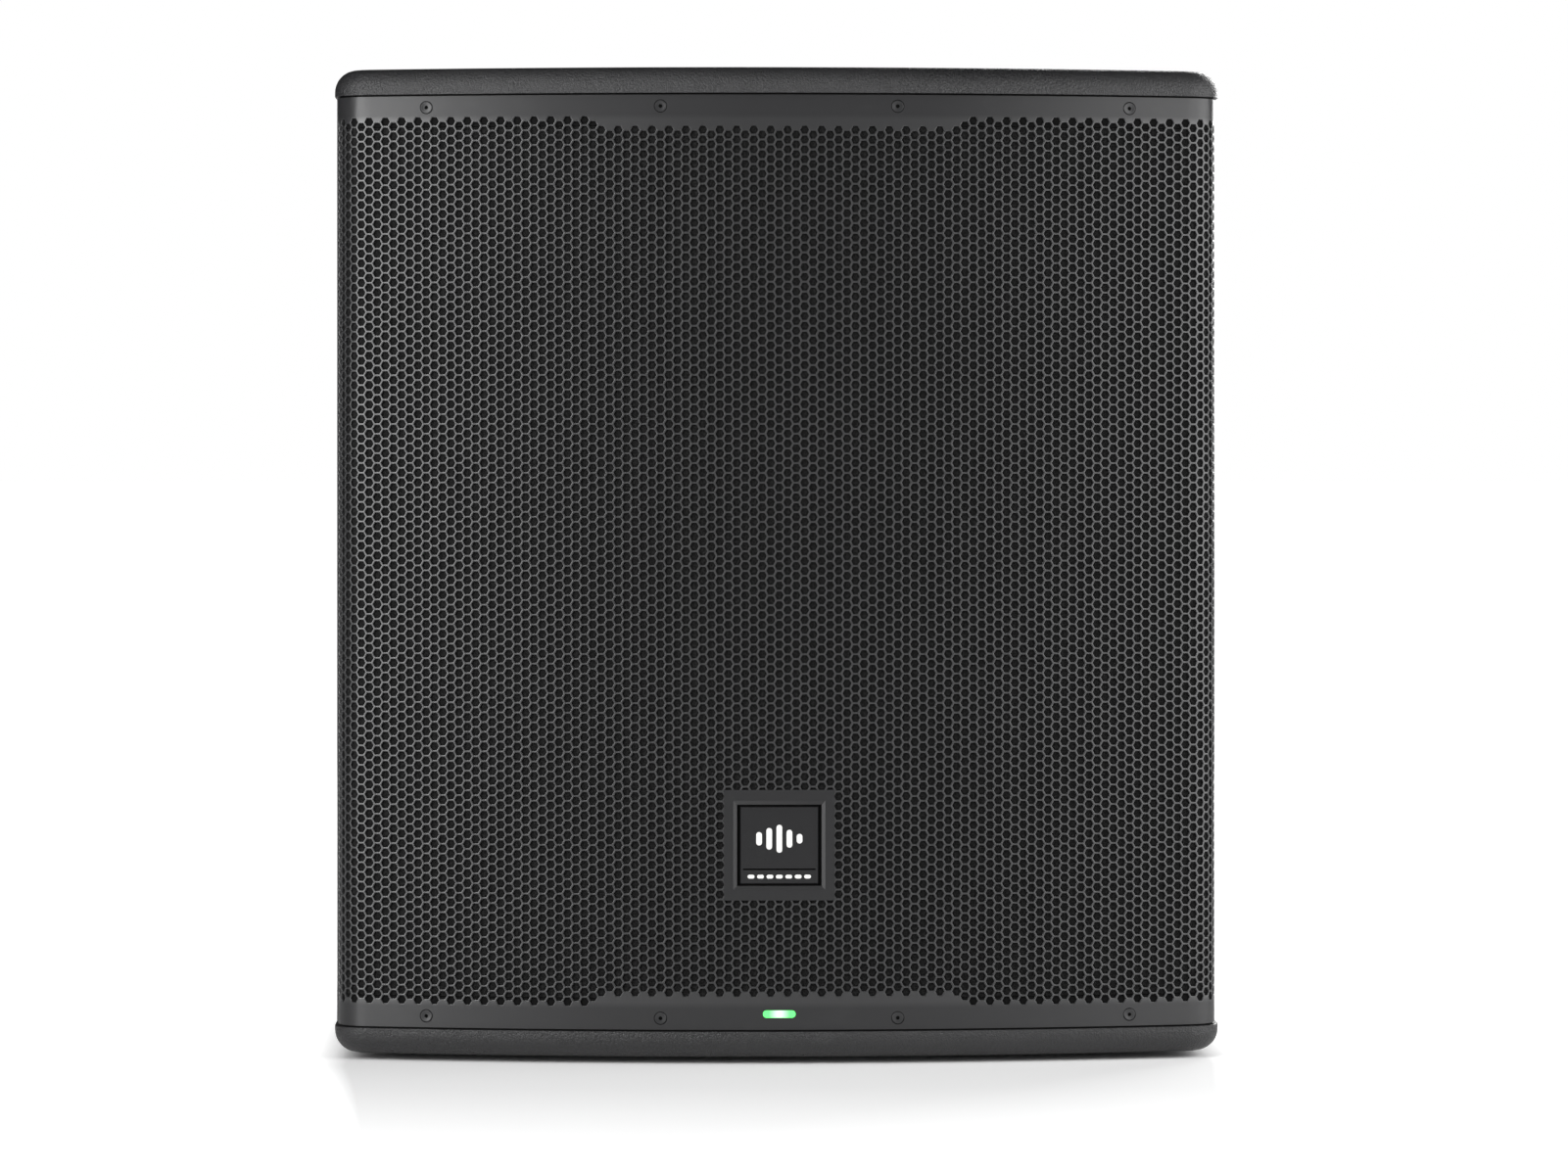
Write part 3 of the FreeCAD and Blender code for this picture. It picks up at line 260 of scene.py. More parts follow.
def weld(piece, distance=0.01 * MM):
    """Merges doubles and turns all faces outwards."""
    open_edit(piece)
    pick_all()
    bpy.ops.mesh.remove_doubles(threshold=distance)
    bpy.ops.mesh.normals_make_consistent(inside=False)
    close_edit()


def moved(piece, name, x=0.0, y=0.0, z=0.0):
    """A copy with a mesh of its own, moved by a step."""
    copy = twin(piece, name)
    open_edit(copy)
    pick_all()
    bpy.ops.transform.translate(value=(x, y, z))
    close_edit()
    return copy


def rectangle(name, width, height, place_, rotation=UPRIGHT):
    """Upright rectangle of one face, centred on the place."""
    piece = start(name, bpy.ops.mesh.primitive_plane_add, size=1.0, rotation=rotation)
    open_edit(piece)
    pick_all()
    bpy.ops.transform.resize(value=(width, 1.0, height), center_override=(0, 0, 0))
    bpy.ops.transform.translate(value=place_)
    close_edit()
    return piece


def stadium(name, length, width, place_, upright=False, rotation=UPRIGHT):
    """Upright flat shape with round ends: a circle whose halves are drawn apart."""
    piece = start(name, bpy.ops.mesh.primitive_circle_add, vertices=24, radius=width / 2, fill_type="NGON",
                  rotation=rotation)
    along = 2 if upright else 0
    step = [0.0, 0.0, 0.0]
    open_edit(piece)
    pick_all()
    bpy.ops.transform.rotate(value=math.radians(7.5), orient_axis="Y", center_override=(0, 0, 0))
    for side in (-1, 1):
        bpy.ops.mesh.select_mode(type="VERT")
        bpy.ops.mesh.select_all(action="DESELECT")
        mesh = bmesh.from_edit_mesh(piece.data)
        for vert in mesh.verts:
            vert.select_set(vert.co[along] * side > 0)
        bmesh.update_edit_mesh(piece.data)
        step[along] = side * (length - width) / 2
        bpy.ops.transform.translate(value=step)
    pick_all()
    bpy.ops.transform.translate(value=place_)
    close_edit()
    return piece


def raise_face(piece, height, edge=0.0, facing=-1):
    """Pulls a flat piece out of its plane into a closed slab, with its front edge taken off."""
    open_edit(piece)
    pick_all()
    push(y=facing * (height - edge))
    if edge:
        inset(edge, depth=edge)
    close_outwards()


def slice_across(piece, low, high, cuts):
    """Cuts a flat piece across X so that it can bend."""
    open_edit(piece)
    for i in range(1, cuts):
        pick_all()
        bpy.ops.mesh.bisect(plane_co=(low + (high - low) * i / cuts, 0, 0), plane_no=(1, 0, 0))
    close_edit()


def place(piece, material, body, slot, *nodes):
    """Gives a finished piece its material and its body, and hides the design nodes that it stands for; slot
    is not used.
    """
    piece.data.materials.clear()
    piece.data.materials.append(material)
    if body:
        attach(piece, body)
    if nodes:
        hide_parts(*nodes)
    return piece


# --- shader groups ------------------------------------------------------------------------------------
def new_group(name, inputs, outputs):
    """A shader group with float inputs (name: value) and outputs (name: kind)."""
    group = bpy.data.node_groups.new(name, "ShaderNodeTree")
    for label, value in inputs.items():
        socket = group.interface.new_socket(label, in_out="INPUT", socket_type="NodeSocketFloat")
        socket.default_value = value
    for label, kind in outputs.items():
        group.interface.new_socket(label, in_out="OUTPUT", socket_type=kind)
    return group, group.nodes.new("NodeGroupInput"), group.nodes.new("NodeGroupOutput")


def node(tree, kind, links=(), **settings):
    """Adds a node; links are (input, socket or value) pairs."""
    made = tree.nodes.new(kind)
    for name, value in settings.items():
        setattr(made, name, value)
    for name, source in links:
        if isinstance(source, bpy.types.NodeSocket):
            tree.links.new(source, made.inputs[name])
        else:
            made.inputs[name].default_value = source
    return made


def object_place(tree):
    return node(tree, "ShaderNodeTexCoord").outputs["Object"]


def noise(tree, place_, scale, detail=2.0, **more):
    links = [("Vector", place_), ("Scale", scale), ("Detail", detail), *more.items()]
    return node(tree, "ShaderNodeTexNoise", links).outputs["Fac"]


def maths(tree, operation, *values, **settings):
    return node(tree, "ShaderNodeMath", enumerate(values), operation=operation, **settings).outputs[0]


def mix_values(tree, share, first, second):
    return node(tree, "ShaderNodeMix", [("Factor", share), (2, first), (3, second)]).outputs[0]


def mix_colours(tree, share, first, second):
    links = [("Factor", share), ("A", first), ("B", second)]
    return node(tree, "ShaderNodeMix", links, data_type="RGBA").outputs["Result"]


def remap(tree, value, low, high, to_low=0.0, to_high=1.0):
    """Maps low to to_low and high to to_high, and stops there."""
    return node(tree, "ShaderNodeMapRange", [
        ("Value", value), ("From Min", low), ("From Max", high),
        ("To Min", to_low), ("To Max", to_high)]).outputs[0]


def split(tree, vector):
    return node(tree, "ShaderNodeSeparateXYZ", [(0, vector)]).outputs


def mapped(tree, place_, **settings):
    links = [("Vector", place_), *settings.items()]
    return node(tree, "ShaderNodeMapping", links).outputs[0]


def grain_group():
    """Sprayed grain: mounds of a set size, with a finer layer on them, and a slow drift in tone."""
    group, given, result = new_group(
        "sprayed grain", {"Grains per metre": 900.0, "Fine share": 0.35},
        {"Height": "NodeSocketFloat", "Tone": "NodeSocketFloat"},
    )
    place_ = object_place(group)
    coarse = noise(group, place_, given.outputs["Grains per metre"], Roughness=0.6)
    fine_scale = maths(group, "MULTIPLY", given.outputs["Grains per metre"], 2.6)
    fine = noise(group, place_, fine_scale, 1.0)
    height = mix_values(group, given.outputs["Fine share"], coarse, fine)
    group.links.new(height, result.inputs["Height"])
    drift = noise(group, place_, 7.0, 3.0)
    group.links.new(mix_values(group, 0.55, drift, coarse), result.inputs["Tone"])
    return group


def handling_group():
    """Marks of use: faint scuffs, and dust on what faces up."""
    group, given, result = new_group(
        "marks of use", {"Scuffs": 0.3, "Dust": 0.2}, {"Mask": "NodeSocketFloat"})
    place_ = object_place(group)
    broad = noise(group, place_, 11.0, 5.0)
    streak_place = mapped(group, place_, Rotation=(0.4, 0.9, 0.3), Scale=(40.0, 260.0, 90.0))
    streaks = noise(group, streak_place, 1.0, 4.0)
    cut = remap(group, maths(group, "MULTIPLY", broad, streaks), 0.33, 0.52)
    scuffs = maths(group, "MULTIPLY", cut, given.outputs["Scuffs"])
    facing = split(group, node(group, "ShaderNodeNewGeometry").outputs["Normal"])
    patchy = maths(group, "MULTIPLY", remap(group, facing["Z"], 0.6, 1.0), broad)
    dust = maths(group, "MULTIPLY", patchy, given.outputs["Dust"])
    total = maths(group, "ADD", scuffs, dust, use_clamp=True)
    group.links.new(total, result.inputs["Mask"])
    return group


GRAIN = grain_group()
HANDLING = handling_group()


# --- materials ----------------------------------------------------------------------------------------
def shade(colour, amount):
    """A colour made lighter or darker, with full alpha."""
    return tuple(min(1.0, c * amount) for c in colour[:3]) + (1.0,)


def blank(name, **sockets):
    """A material with a Principled shader whose plain values are set on its own sockets."""
    material = bpy.data.materials.new(name)
    material.use_nodes = True
    shader = material.node_tree.nodes["Principled BSDF"]
    for label, value in sockets.items():
        shader.inputs[label.replace("_", " ")].default_value = value
    return material, material.node_tree, shader


def group_node(tree, group, **values):
    made = tree.nodes.new("ShaderNodeGroup")
    made.node_tree = group
    for label, value in values.items():
        made.inputs[label.replace("_", " ")].default_value = value
    return made


def colour_from(tree, shader, source):
    tree.links.new(source, shader.inputs["Base Color"])


def relief_from(tree, shader, height, depth):
    """Raises the surface by height, whose full range is depth in millimetres."""
    bump = node(tree, "ShaderNodeBump", [("Height", height), ("Distance", depth * MM)])
    tree.links.new(bump.outputs["Normal"], shader.inputs["Normal"])


def finish(name, colour, roughness, grains=900.0, depth=0.05, contrast=0.25, spread=0.12,
           scuffs=0.25, dust=0.15, **sockets):
    """Moulded, painted or plated surface: grain in relief, slow drift in tone, and marks of use.

    depth is the grain's height in millimetres, contrast how far its colour varies, spread how far its
    roughness does."""
    material, tree, shader = blank(name, **sockets)
    grain = group_node(tree, GRAIN, Grains_per_metre=grains)
    marks = group_node(tree, HANDLING, Scuffs=scuffs, Dust=dust)
    tones = mix_colours(
        tree, grain.outputs["Tone"], shade(colour, 1 - contrast), shade(colour, 1 + contrast))
    worn = shade([c * 0.7 + 0.05 for c in colour], 1.3)
    colour_from(tree, shader, mix_colours(tree, marks.outputs["Mask"], tones, worn))
    gloss = remap(tree, grain.outputs["Tone"], 0.3, 0.7,
                  max(0.02, roughness - spread), min(1.0, roughness + spread))
    tree.links.new(gloss, shader.inputs["Roughness"])
    relief_from(tree, shader, grain.outputs["Height"], depth)
    return material


COLOUR = {entry["slot"]: entry["base_color"] for entry in frame["record"]["materials"]}


def coating_material():
    """Sprayed hard coating on the plywood: fine mounds that sparkle where the light rakes them."""
    return finish("textured coating", COLOUR["coated_plywood"], 0.38, grains=620, depth=1.1,
                  contrast=0.6, spread=0.18, scuffs=0.12, dust=0.05)


def grille_material():
    """Fine powder coat, which has flowed glossier over the narrow webs than on the flat bands."""
    material = finish("grille powder coat", COLOUR["grille_steel"], 0.37, grains=1500, depth=0.03,
                      contrast=0.12, spread=0.04, scuffs=0.08, dust=0.03, Coat_Roughness=0.35)
    tree = material.node_tree
    up = split(tree, object_place(tree))["Z"]
    away = maths(tree, "ABSOLUTE", maths(tree, "SUBTRACT", up, PATTERN_Z))
    webs = remap(tree, away, SIDE_REACH + 4 * MM, SIDE_REACH, to_high=0.7)
    tree.links.new(webs, tree.nodes["Principled BSDF"].inputs["Coat Weight"])
    return material


def foam_material():
    """Open-cell foam: rough pits, with painted shade darkening them."""
    material, tree, shader = blank("acoustic foam", Roughness=0.95, Specular_IOR_Level=0.2)
    cells = node(tree, "ShaderNodeTexVoronoi", [
        ("Vector", object_place(tree)), ("Scale", 700.0)]).outputs["Distance"]
    colour = COLOUR["acoustic_foam"]
    # Painted shade: each cell darkens to a fifth of the foam's colour towards its middle, where its pit is
    # deepest.
    colour_from(tree, shader, mix_colours(tree, cells, shade(colour, 0.2), shade(colour, 1.3)))
    relief_from(tree, shader, cells, 0.8)
    return material


def plywood_material():
    """Birch: long grain along Z, darker late wood, small pores."""
    material, tree, shader = blank("birch plywood", Roughness=0.6)
    place_ = object_place(tree)
    figure = noise(tree, mapped(tree, place_, Scale=(9.0, 9.0, 1.2)), 3.0, 4.0, Distortion=1.4)
    fibres = noise(tree, mapped(tree, place_, Scale=(900.0, 900.0, 25.0)), 1.0)
    both = mix_values(tree, 0.4, figure, fibres)
    colour = COLOUR["bare_plywood"]
    colour_from(tree, shader, mix_colours(tree, both, shade(colour, 0.62), shade(colour, 1.3)))
    relief_from(tree, shader, fibres, 0.08)
    return material


def lens_material():
    """Green light bar, brightest at the lamp behind its middle."""
    material, tree, shader = blank("green light", Roughness=0.35, Emission_Strength=1.0)
    reach_x, reach = 7 * MM, 11 * MM        # of the bright spot
    centred = mapped(
        tree, object_place(tree), Location=(0.0, -GRILLE_FACE_Y / reach, -LIGHT_Z / reach),
        Scale=(1 / reach_x, 1 / reach, 1 / reach))
    spot = node(tree, "ShaderNodeTexGradient", [("Vector", centred)], gradient_type="SPHERICAL")
    tones = mix_colours(tree, spot.outputs["Fac"], (0.10, 0.86, 0.16, 1), (0.55, 1.0, 0.6, 1))
    tree.links.new(tones, shader.inputs["Emission Color"])
    colour_from(tree, shader, tones)
    return material


def glow_material():
    """Lit picture on the screen, a little uneven."""
    material, tree, shader = blank("screen picture", Roughness=0.5, Emission_Strength=1.4)
    drift = noise(tree, object_place(tree), 60.0)
    tones = mix_colours(tree, drift, (0.12, 0.42, 0.75, 1), (0.35, 0.75, 1.0, 1))
    tree.links.new(tones, shader.inputs["Emission Color"])
    return material


def glass_material():
    """Smoked window, faintly scuffed."""
    material, tree, shader = blank("smoked window", Roughness=0.04, Transmission_Weight=0.85, IOR=1.49)
    marks = group_node(tree, HANDLING, Scuffs=0.5, Dust=0.0)
    tones = mix_colours(tree, marks.outputs["Mask"], (0.55, 0.6, 0.66, 1), (0.7, 0.72, 0.75, 1))
    colour_from(tree, shader, tones)
    return material


def board_material():
    """Solder mask with copper tracks showing through."""
    material, tree, shader = blank("circuit board", Roughness=0.35)
    laid_flat = mapped(tree, object_place(tree), Rotation=(math.radians(90), 0, 0))
    tracks = node(tree, "ShaderNodeTexBrick", [
        ("Vector", laid_flat), ("Scale", 60.0), ("Mortar Size", 0.06),
        ("Brick Width", 0.7), ("Row Height", 0.4), ("Color1", (0.012, 0.10, 0.04, 1)),
        ("Color2", (0.015, 0.13, 0.05, 1)), ("Mortar", (0.06, 0.26, 0.09, 1))])
    colour_from(tree, shader, tracks.outputs["Color"])
    relief_from(tree, shader, tracks.outputs["Fac"], 0.05)
    return material


def weave_material(name, colour, threads, depth, roughness):
    """Woven cloth: two crossed sets of threads."""
    material, tree, shader = blank(name, Roughness=roughness, Sheen_Weight=0.3)
    place_ = object_place(tree)
    warp, weft = (
        node(tree, "ShaderNodeTexWave", [("Vector", place_), ("Scale", threads)], bands_direction=along)
        for along in ("X", "Z"))
    crossed = maths(tree, "MAXIMUM", warp.outputs["Fac"], weft.outputs["Fac"])
    colour_from(tree, shader, mix_colours(tree, crossed, shade(colour, 0.6), shade(colour, 1.3)))
    relief_from(tree, shader, crossed, depth)
    return material


def slot_materials():
    """One material for each of the record's slots."""
    c = COLOUR
    return {
        "coated_plywood": coating_material(),
        "bare_plywood": plywood_material(),
        "grille_steel": grille_material(),
        "acoustic_foam": foam_material(),
        "black_screw": finish("black screw", c["black_screw"], 0.34, 2500, 0.01, Metallic=0.6),
        "badge_metal": finish(
            "badge metal", shade(c["badge_metal"], 0.5), 0.38, 2200, 0.01, 0.1, 0.05, scuffs=0.1),
        "badge_enamel": finish("badge enamel", c["badge_enamel"], 0.3, 1500, 0.005, 0.1, 0.05, scuffs=0.1),
        "emblem_white": finish("white inlay", c["emblem_white"], 0.45, 1500, 0.01, 0.04, 0.05, 0.05, 0.05),
        "green_lens": lens_material(),
        "circuit_board": board_material(),
        "cast_socket": finish("powder-coated casting", c["cast_socket"], 0.45, 700, 0.12, 0.2),
        "handle_plastic": finish("handle plastic", c["handle_plastic"], 0.5, 1100, 0.14, 0.2),
        "foot_rubber": finish("black rubber", c["foot_rubber"], 0.7, 600, 0.1, 0.3, dust=0.1),
        "zinc_steel": finish("zinc plate", c["zinc_steel"], 0.36, 500, 0.02, 0.2, Metallic=1.0),
        "basket_alloy": finish("painted alloy", c["basket_alloy"], 0.42, 700, 0.06, 0.2),
        "surround_cloth": weave_material("surround cloth", c["surround_cloth"], 350, 0.15, 0.6),
        "cone_paper": finish("pressed pulp", c["cone_paper"], 0.75, 400, 0.25, 0.4),
        "coil_copper": finish("winding", c["coil_copper"], 0.3, 900, 0.05, 0.2, Metallic=0.9),
        "spider_cloth": weave_material("spider cloth", c["spider_cloth"], 500, 0.1, 0.75),
        "magnet_ferrite": finish("ferrite", c["magnet_ferrite"], 0.55, 500, 0.1, 0.3),
        "connector_plastic": finish("moulded plastic", c["connector_plastic"], 0.42, 1800, 0.02, 0.12),
        "panel_paint": finish("panel paint", c["panel_paint"], 0.48, 1500, 0.06, 0.2),
        "anodised_aluminium": finish("black anodising", c["anodised_aluminium"], 0.36, 1600, 0.02, 0.15,
                                     Metallic=0.5),
        "transformer_iron": finish("laminations", c["transformer_iron"], 0.5, 400, 0.1, 0.3, Metallic=0.5),
        "capacitor_sleeve": finish("shrink sleeve", c["capacitor_sleeve"], 0.3, 300, 0.05, 0.1),
        "standoff_brass": finish("brass", c["standoff_brass"], 0.3, 700, 0.02, 0.15, Metallic=1.0),
        "display_glass": glass_material(),
        "display_screen": finish("screen", c["display_screen"], 0.25, 1500, 0.0, 0.1),
        "knob_plastic": finish("soft-touch knob", c["knob_plastic"], 0.55, 2000, 0.02, 0.12),
        "connector_metal": finish("black plating", c["connector_metal"], 0.32, 1500, 0.015, 0.15,
                                  Metallic=0.7),
        "latch_steel": finish("nickel plate", c["latch_steel"], 0.25, 900, 0.01, 0.1, Metallic=1.0),
        "contact_gold": finish("gold plate", c["contact_gold"], 0.2, 900, 0.005, 0.08, Metallic=1.0),
        "rocker_plastic": finish("rocker plastic", c["rocker_plastic"], 0.3, 1500, 0.01, 0.1),
        "cable_rubber": finish("cable sheath", c["cable_rubber"], 0.55, 900, 0.03, 0.15),
        "matt_black": finish("matt black stain", (0.006, 0.006, 0.006), 0.9, 900, 0.1, 0.3, 0.05, 0.1, 0.0,
                             Specular_IOR_Level=0.1),
        # Black with no reflection at all: painted shadow, laid as thin sheets round the screw heads, in the
        # badge's gap and in its groove.
        "painted_gap_shadow": finish("painted shadow gap", (0.004, 0.004, 0.004), 0.9, 900, 0.0, 0.2, 0.0, 0.0, 0.0,
                           Specular_IOR_Level=0.0),
        "screen_glow": glow_material(),
    }


MATERIAL = slot_materials()


def paint_design_nodes():
    """Every node carried over from the design gets its slot's material; wood behind the grille is matt."""
    for entry in frame["record"]["subparts"]:
        behind = entry["node"] in ("grille_battens", "front_baffle")
        mesh = frame["nodes"][entry["node"]].data
        mesh.materials.clear()
        mesh.materials.append(MATERIAL["matt_black" if behind else entry["material_slot"]])


# --- the bowed front ----------------------------------------------------------------------------------
CORNER_X = HALF_WIDTH - FRONT_CORNER
BOW_CENTRE_Y = FRONT_Y + BOW_RADIUS
BOW_ANGLE = math.asin(CORNER_X / (BOW_RADIUS - FRONT_CORNER))
CORNER_Y = BOW_CENTRE_Y - math.cos(BOW_ANGLE) * (BOW_RADIUS - FRONT_CORNER)


def outline_length(inset, back_y):
    """Length of the front's outline, set in by inset, between its two ends at back_y."""
    straight = back_y - CORNER_Y
    corner = (FRONT_CORNER - inset) * (math.pi / 2 - BOW_ANGLE)
    return 2 * (straight + corner + (BOW_RADIUS - inset) * BOW_ANGLE)


def outline(inset, back_y):
    """Line from back_y on the left, round the front, to back_y on the right, as a curve."""
    half = HALF_WIDTH - inset
    line = start("outline", bpy.ops.mesh.primitive_plane_add, size=MM, location=(-half, back_y, 0))
    open_edit(line)
    bpy.ops.mesh.select_mode(type="VERT")
    pick_all()
    bpy.ops.mesh.merge(type="CENTER")
    forward = {"value": (0, CORNER_Y - back_y, 0)}
    back = {"value": (0, back_y - CORNER_Y, 0)}
    corner_turn = -(math.pi / 2 - BOW_ANGLE)
    bpy.ops.mesh.extrude_vertices_move(TRANSFORM_OT_translate=forward)
    bpy.ops.mesh.spin(steps=24, angle=corner_turn, center=(-CORNER_X, CORNER_Y, 0), axis=(0, 0, 1))
    bpy.ops.mesh.spin(steps=96, angle=-2 * BOW_ANGLE, center=(0, BOW_CENTRE_Y, 0), axis=(0, 0, 1))
    bpy.ops.mesh.spin(steps=24, angle=corner_turn, center=(CORNER_X, CORNER_Y, 0), axis=(0, 0, 1))
    bpy.ops.mesh.extrude_vertices_move(TRANSFORM_OT_translate=back)
    close_edit()
    bpy.ops.object.convert(target="CURVE")
    line.data.dimensions = "3D"
    line.data.twist_mode = "Z_UP"
    return line


def wrap(piece, line):
    """Bends a flat piece, laid out along X from the line's start, round the line."""
    apply_modifier(piece, "CURVE", object=line, deform_axis="POS_X")


def spread_edge(test, axis, value):
    """Extrudes the boundary edges that pass the test on to the plane where axis has the value."""
    pick_edges(lambda edge: edge.is_boundary and test(edge))
    bpy.ops.mesh.extrude_edges_move()
    scale = [1.0, 1.0, 1.0]
    scale[axis] = 0.0
    centre = [0.0, 0.0, 0.0]
    centre[axis] = value
    bpy.ops.transform.resize(value=scale, center_override=centre)


def grille_sheet():
    """The whole grille laid flat: hexagons, with their rows run out to straight edges."""
    length = outline_length(GRILLE_INSET, GRILLE_HIGH.y)
    step = HOLE_PITCH * math.sqrt(3) / 2
    side = HOLE_PITCH / math.sqrt(3)
    first_x = length / 2 - step * (HOLE_COLUMNS // 2)
    first_z = PATTERN_Z - HOLE_PITCH * (HOLE_ROWS - 1) / 2
    sheet = start(
        "grille_middle", bpy.ops.mesh.primitive_circle_add, vertices=6, radius=side, fill_type="NGON",
        location=(first_x, 0, first_z), rotation=(math.radians(90), math.radians(30), 0),
    )
    array(sheet, HOLE_ROWS, (0, 0, HOLE_PITCH))
    array(sheet, 2, (step, 0, HOLE_PITCH / 2))
    array(sheet, (HOLE_COLUMNS + 1) // 2, (2 * step, 0, 0))
    open_edit(sheet)
    last_x = length - first_x
    pick_faces(lambda face: face.calc_center_median().x > last_x + step / 2)
    bpy.ops.mesh.delete(type="FACE")
    near = side * 0.45
    spread_edge(lambda edge: all(v.co.x < first_x - near for v in edge.verts), 0, 0.0)
    spread_edge(lambda edge: all(v.co.x > last_x + near for v in edge.verts), 0, length)

    def level(edge):
        return not all(v.co.x < near or v.co.x > length - near for v in edge.verts)

    spread_edge(lambda edge: level(edge) and min(v.co.z for v in edge.verts) > PATTERN_Z, 2, GRILLE_HIGH.z)
    spread_edge(lambda edge: level(edge) and max(v.co.z for v in edge.verts) < PATTERN_Z, 2, GRILLE_LOW.z)
    close_edit()
    return sheet, length


def part_off(sheet, name, test):
    """Separates the faces that pass the test as a piece of their own."""
    open_edit(sheet)
    pick_faces(test)
    bpy.ops.mesh.separate(type="SELECTED")
    close_edit()
    section = [o for o in bpy.context.selected_objects if o != sheet][0]
    section.name = name
    section.data.name = name
    return section


def punch(section, middle_x):
    """Gives a flat section its thickness and its holes, whose front edges are rounded off."""

    def hole(face):
        if len(face.verts) != 6:
            return False
        centre = face.calc_center_median()
        across = abs(centre.x - middle_x)
        up = abs(centre.z - PATTERN_Z)
        reach = CENTRE_REACH if across < CENTRE_HALF else SIDE_REACH
        hidden = BADGE_SQUARE / 2 - HOLE_PITCH * 0.45
        return up < reach and not (across < hidden and abs(centre.z - BADGE_Z) < hidden)

    back = twin(section, "back")
    open_edit(back)
    pick_faces(hole)
    inset(WEB_FLAT + WEB_EDGE, use_individual=True)
    bpy.ops.mesh.delete(type="FACE")
    pick_all()
    bpy.ops.transform.translate(value=(0, GRILLE_SHEET, 0))
    close_edit()
    open_edit(section)
    pick_edges(lambda edge: edge.is_boundary)
    bpy.ops.mesh.extrude_edges_move(TRANSFORM_OT_translate={"value": (0, GRILLE_SHEET, 0)})
    pick_faces(hole)
    inset(WEB_FLAT, use_individual=True)
    inset(WEB_EDGE, depth=-WEB_EDGE, use_individual=True)
    push(y=GRILLE_SHEET - WEB_EDGE)
    bpy.ops.mesh.delete(type="FACE")
    close_edit()
    join([section, back])
    weld(section)


def grille():
    """Perforated front in three closed sections, which meet along the webs between two columns."""
    middle, length = grille_sheet()
    half = length / 2
    left = part_off(middle, "grille_left", lambda f: f.calc_center_median().x < half - CENTRE_HALF)
    right = part_off(middle, "grille_right", lambda f: f.calc_center_median().x > half + CENTRE_HALF)
    line = outline(GRILLE_INSET, GRILLE_HIGH.y)
    for section in (middle, left, right):
        punch(section, half)
        wrap(section, line)
        smooth(section, 60)
        place(section, MATERIAL["grille_steel"], "cabinet", "grille_steel", "grille")
    bpy.data.objects.remove(line)


def foam():
    """Foam sheet right behind the grille."""
    inset = HALF_WIDTH - FOAM_HIGH.x
    length = outline_length(inset, FOAM_HIGH.y)
    height = FOAM_HIGH.z - FOAM_LOW.z
    sheet = start(
        "foam_sheet", bpy.ops.mesh.primitive_grid_add, x_subdivisions=260, y_subdivisions=24, size=1.0,
        rotation=UPRIGHT,
    )
    open_edit(sheet)
    pick_all()
    bpy.ops.transform.resize(value=(length, 1.0, height))
    bpy.ops.transform.translate(value=(length / 2, 0, (FOAM_LOW.z + FOAM_HIGH.z) / 2))
    close_edit()
    line = outline(inset, FOAM_HIGH.y)
    wrap(sheet, line)
    apply_modifier(sheet, "SOLIDIFY", thickness=8 * MM, offset=-1.0)
    smooth(sheet)
    place(sheet, MATERIAL["acoustic_foam"], "cabinet", "acoustic_foam", "grille_foam")
    bpy.data.objects.remove(line)


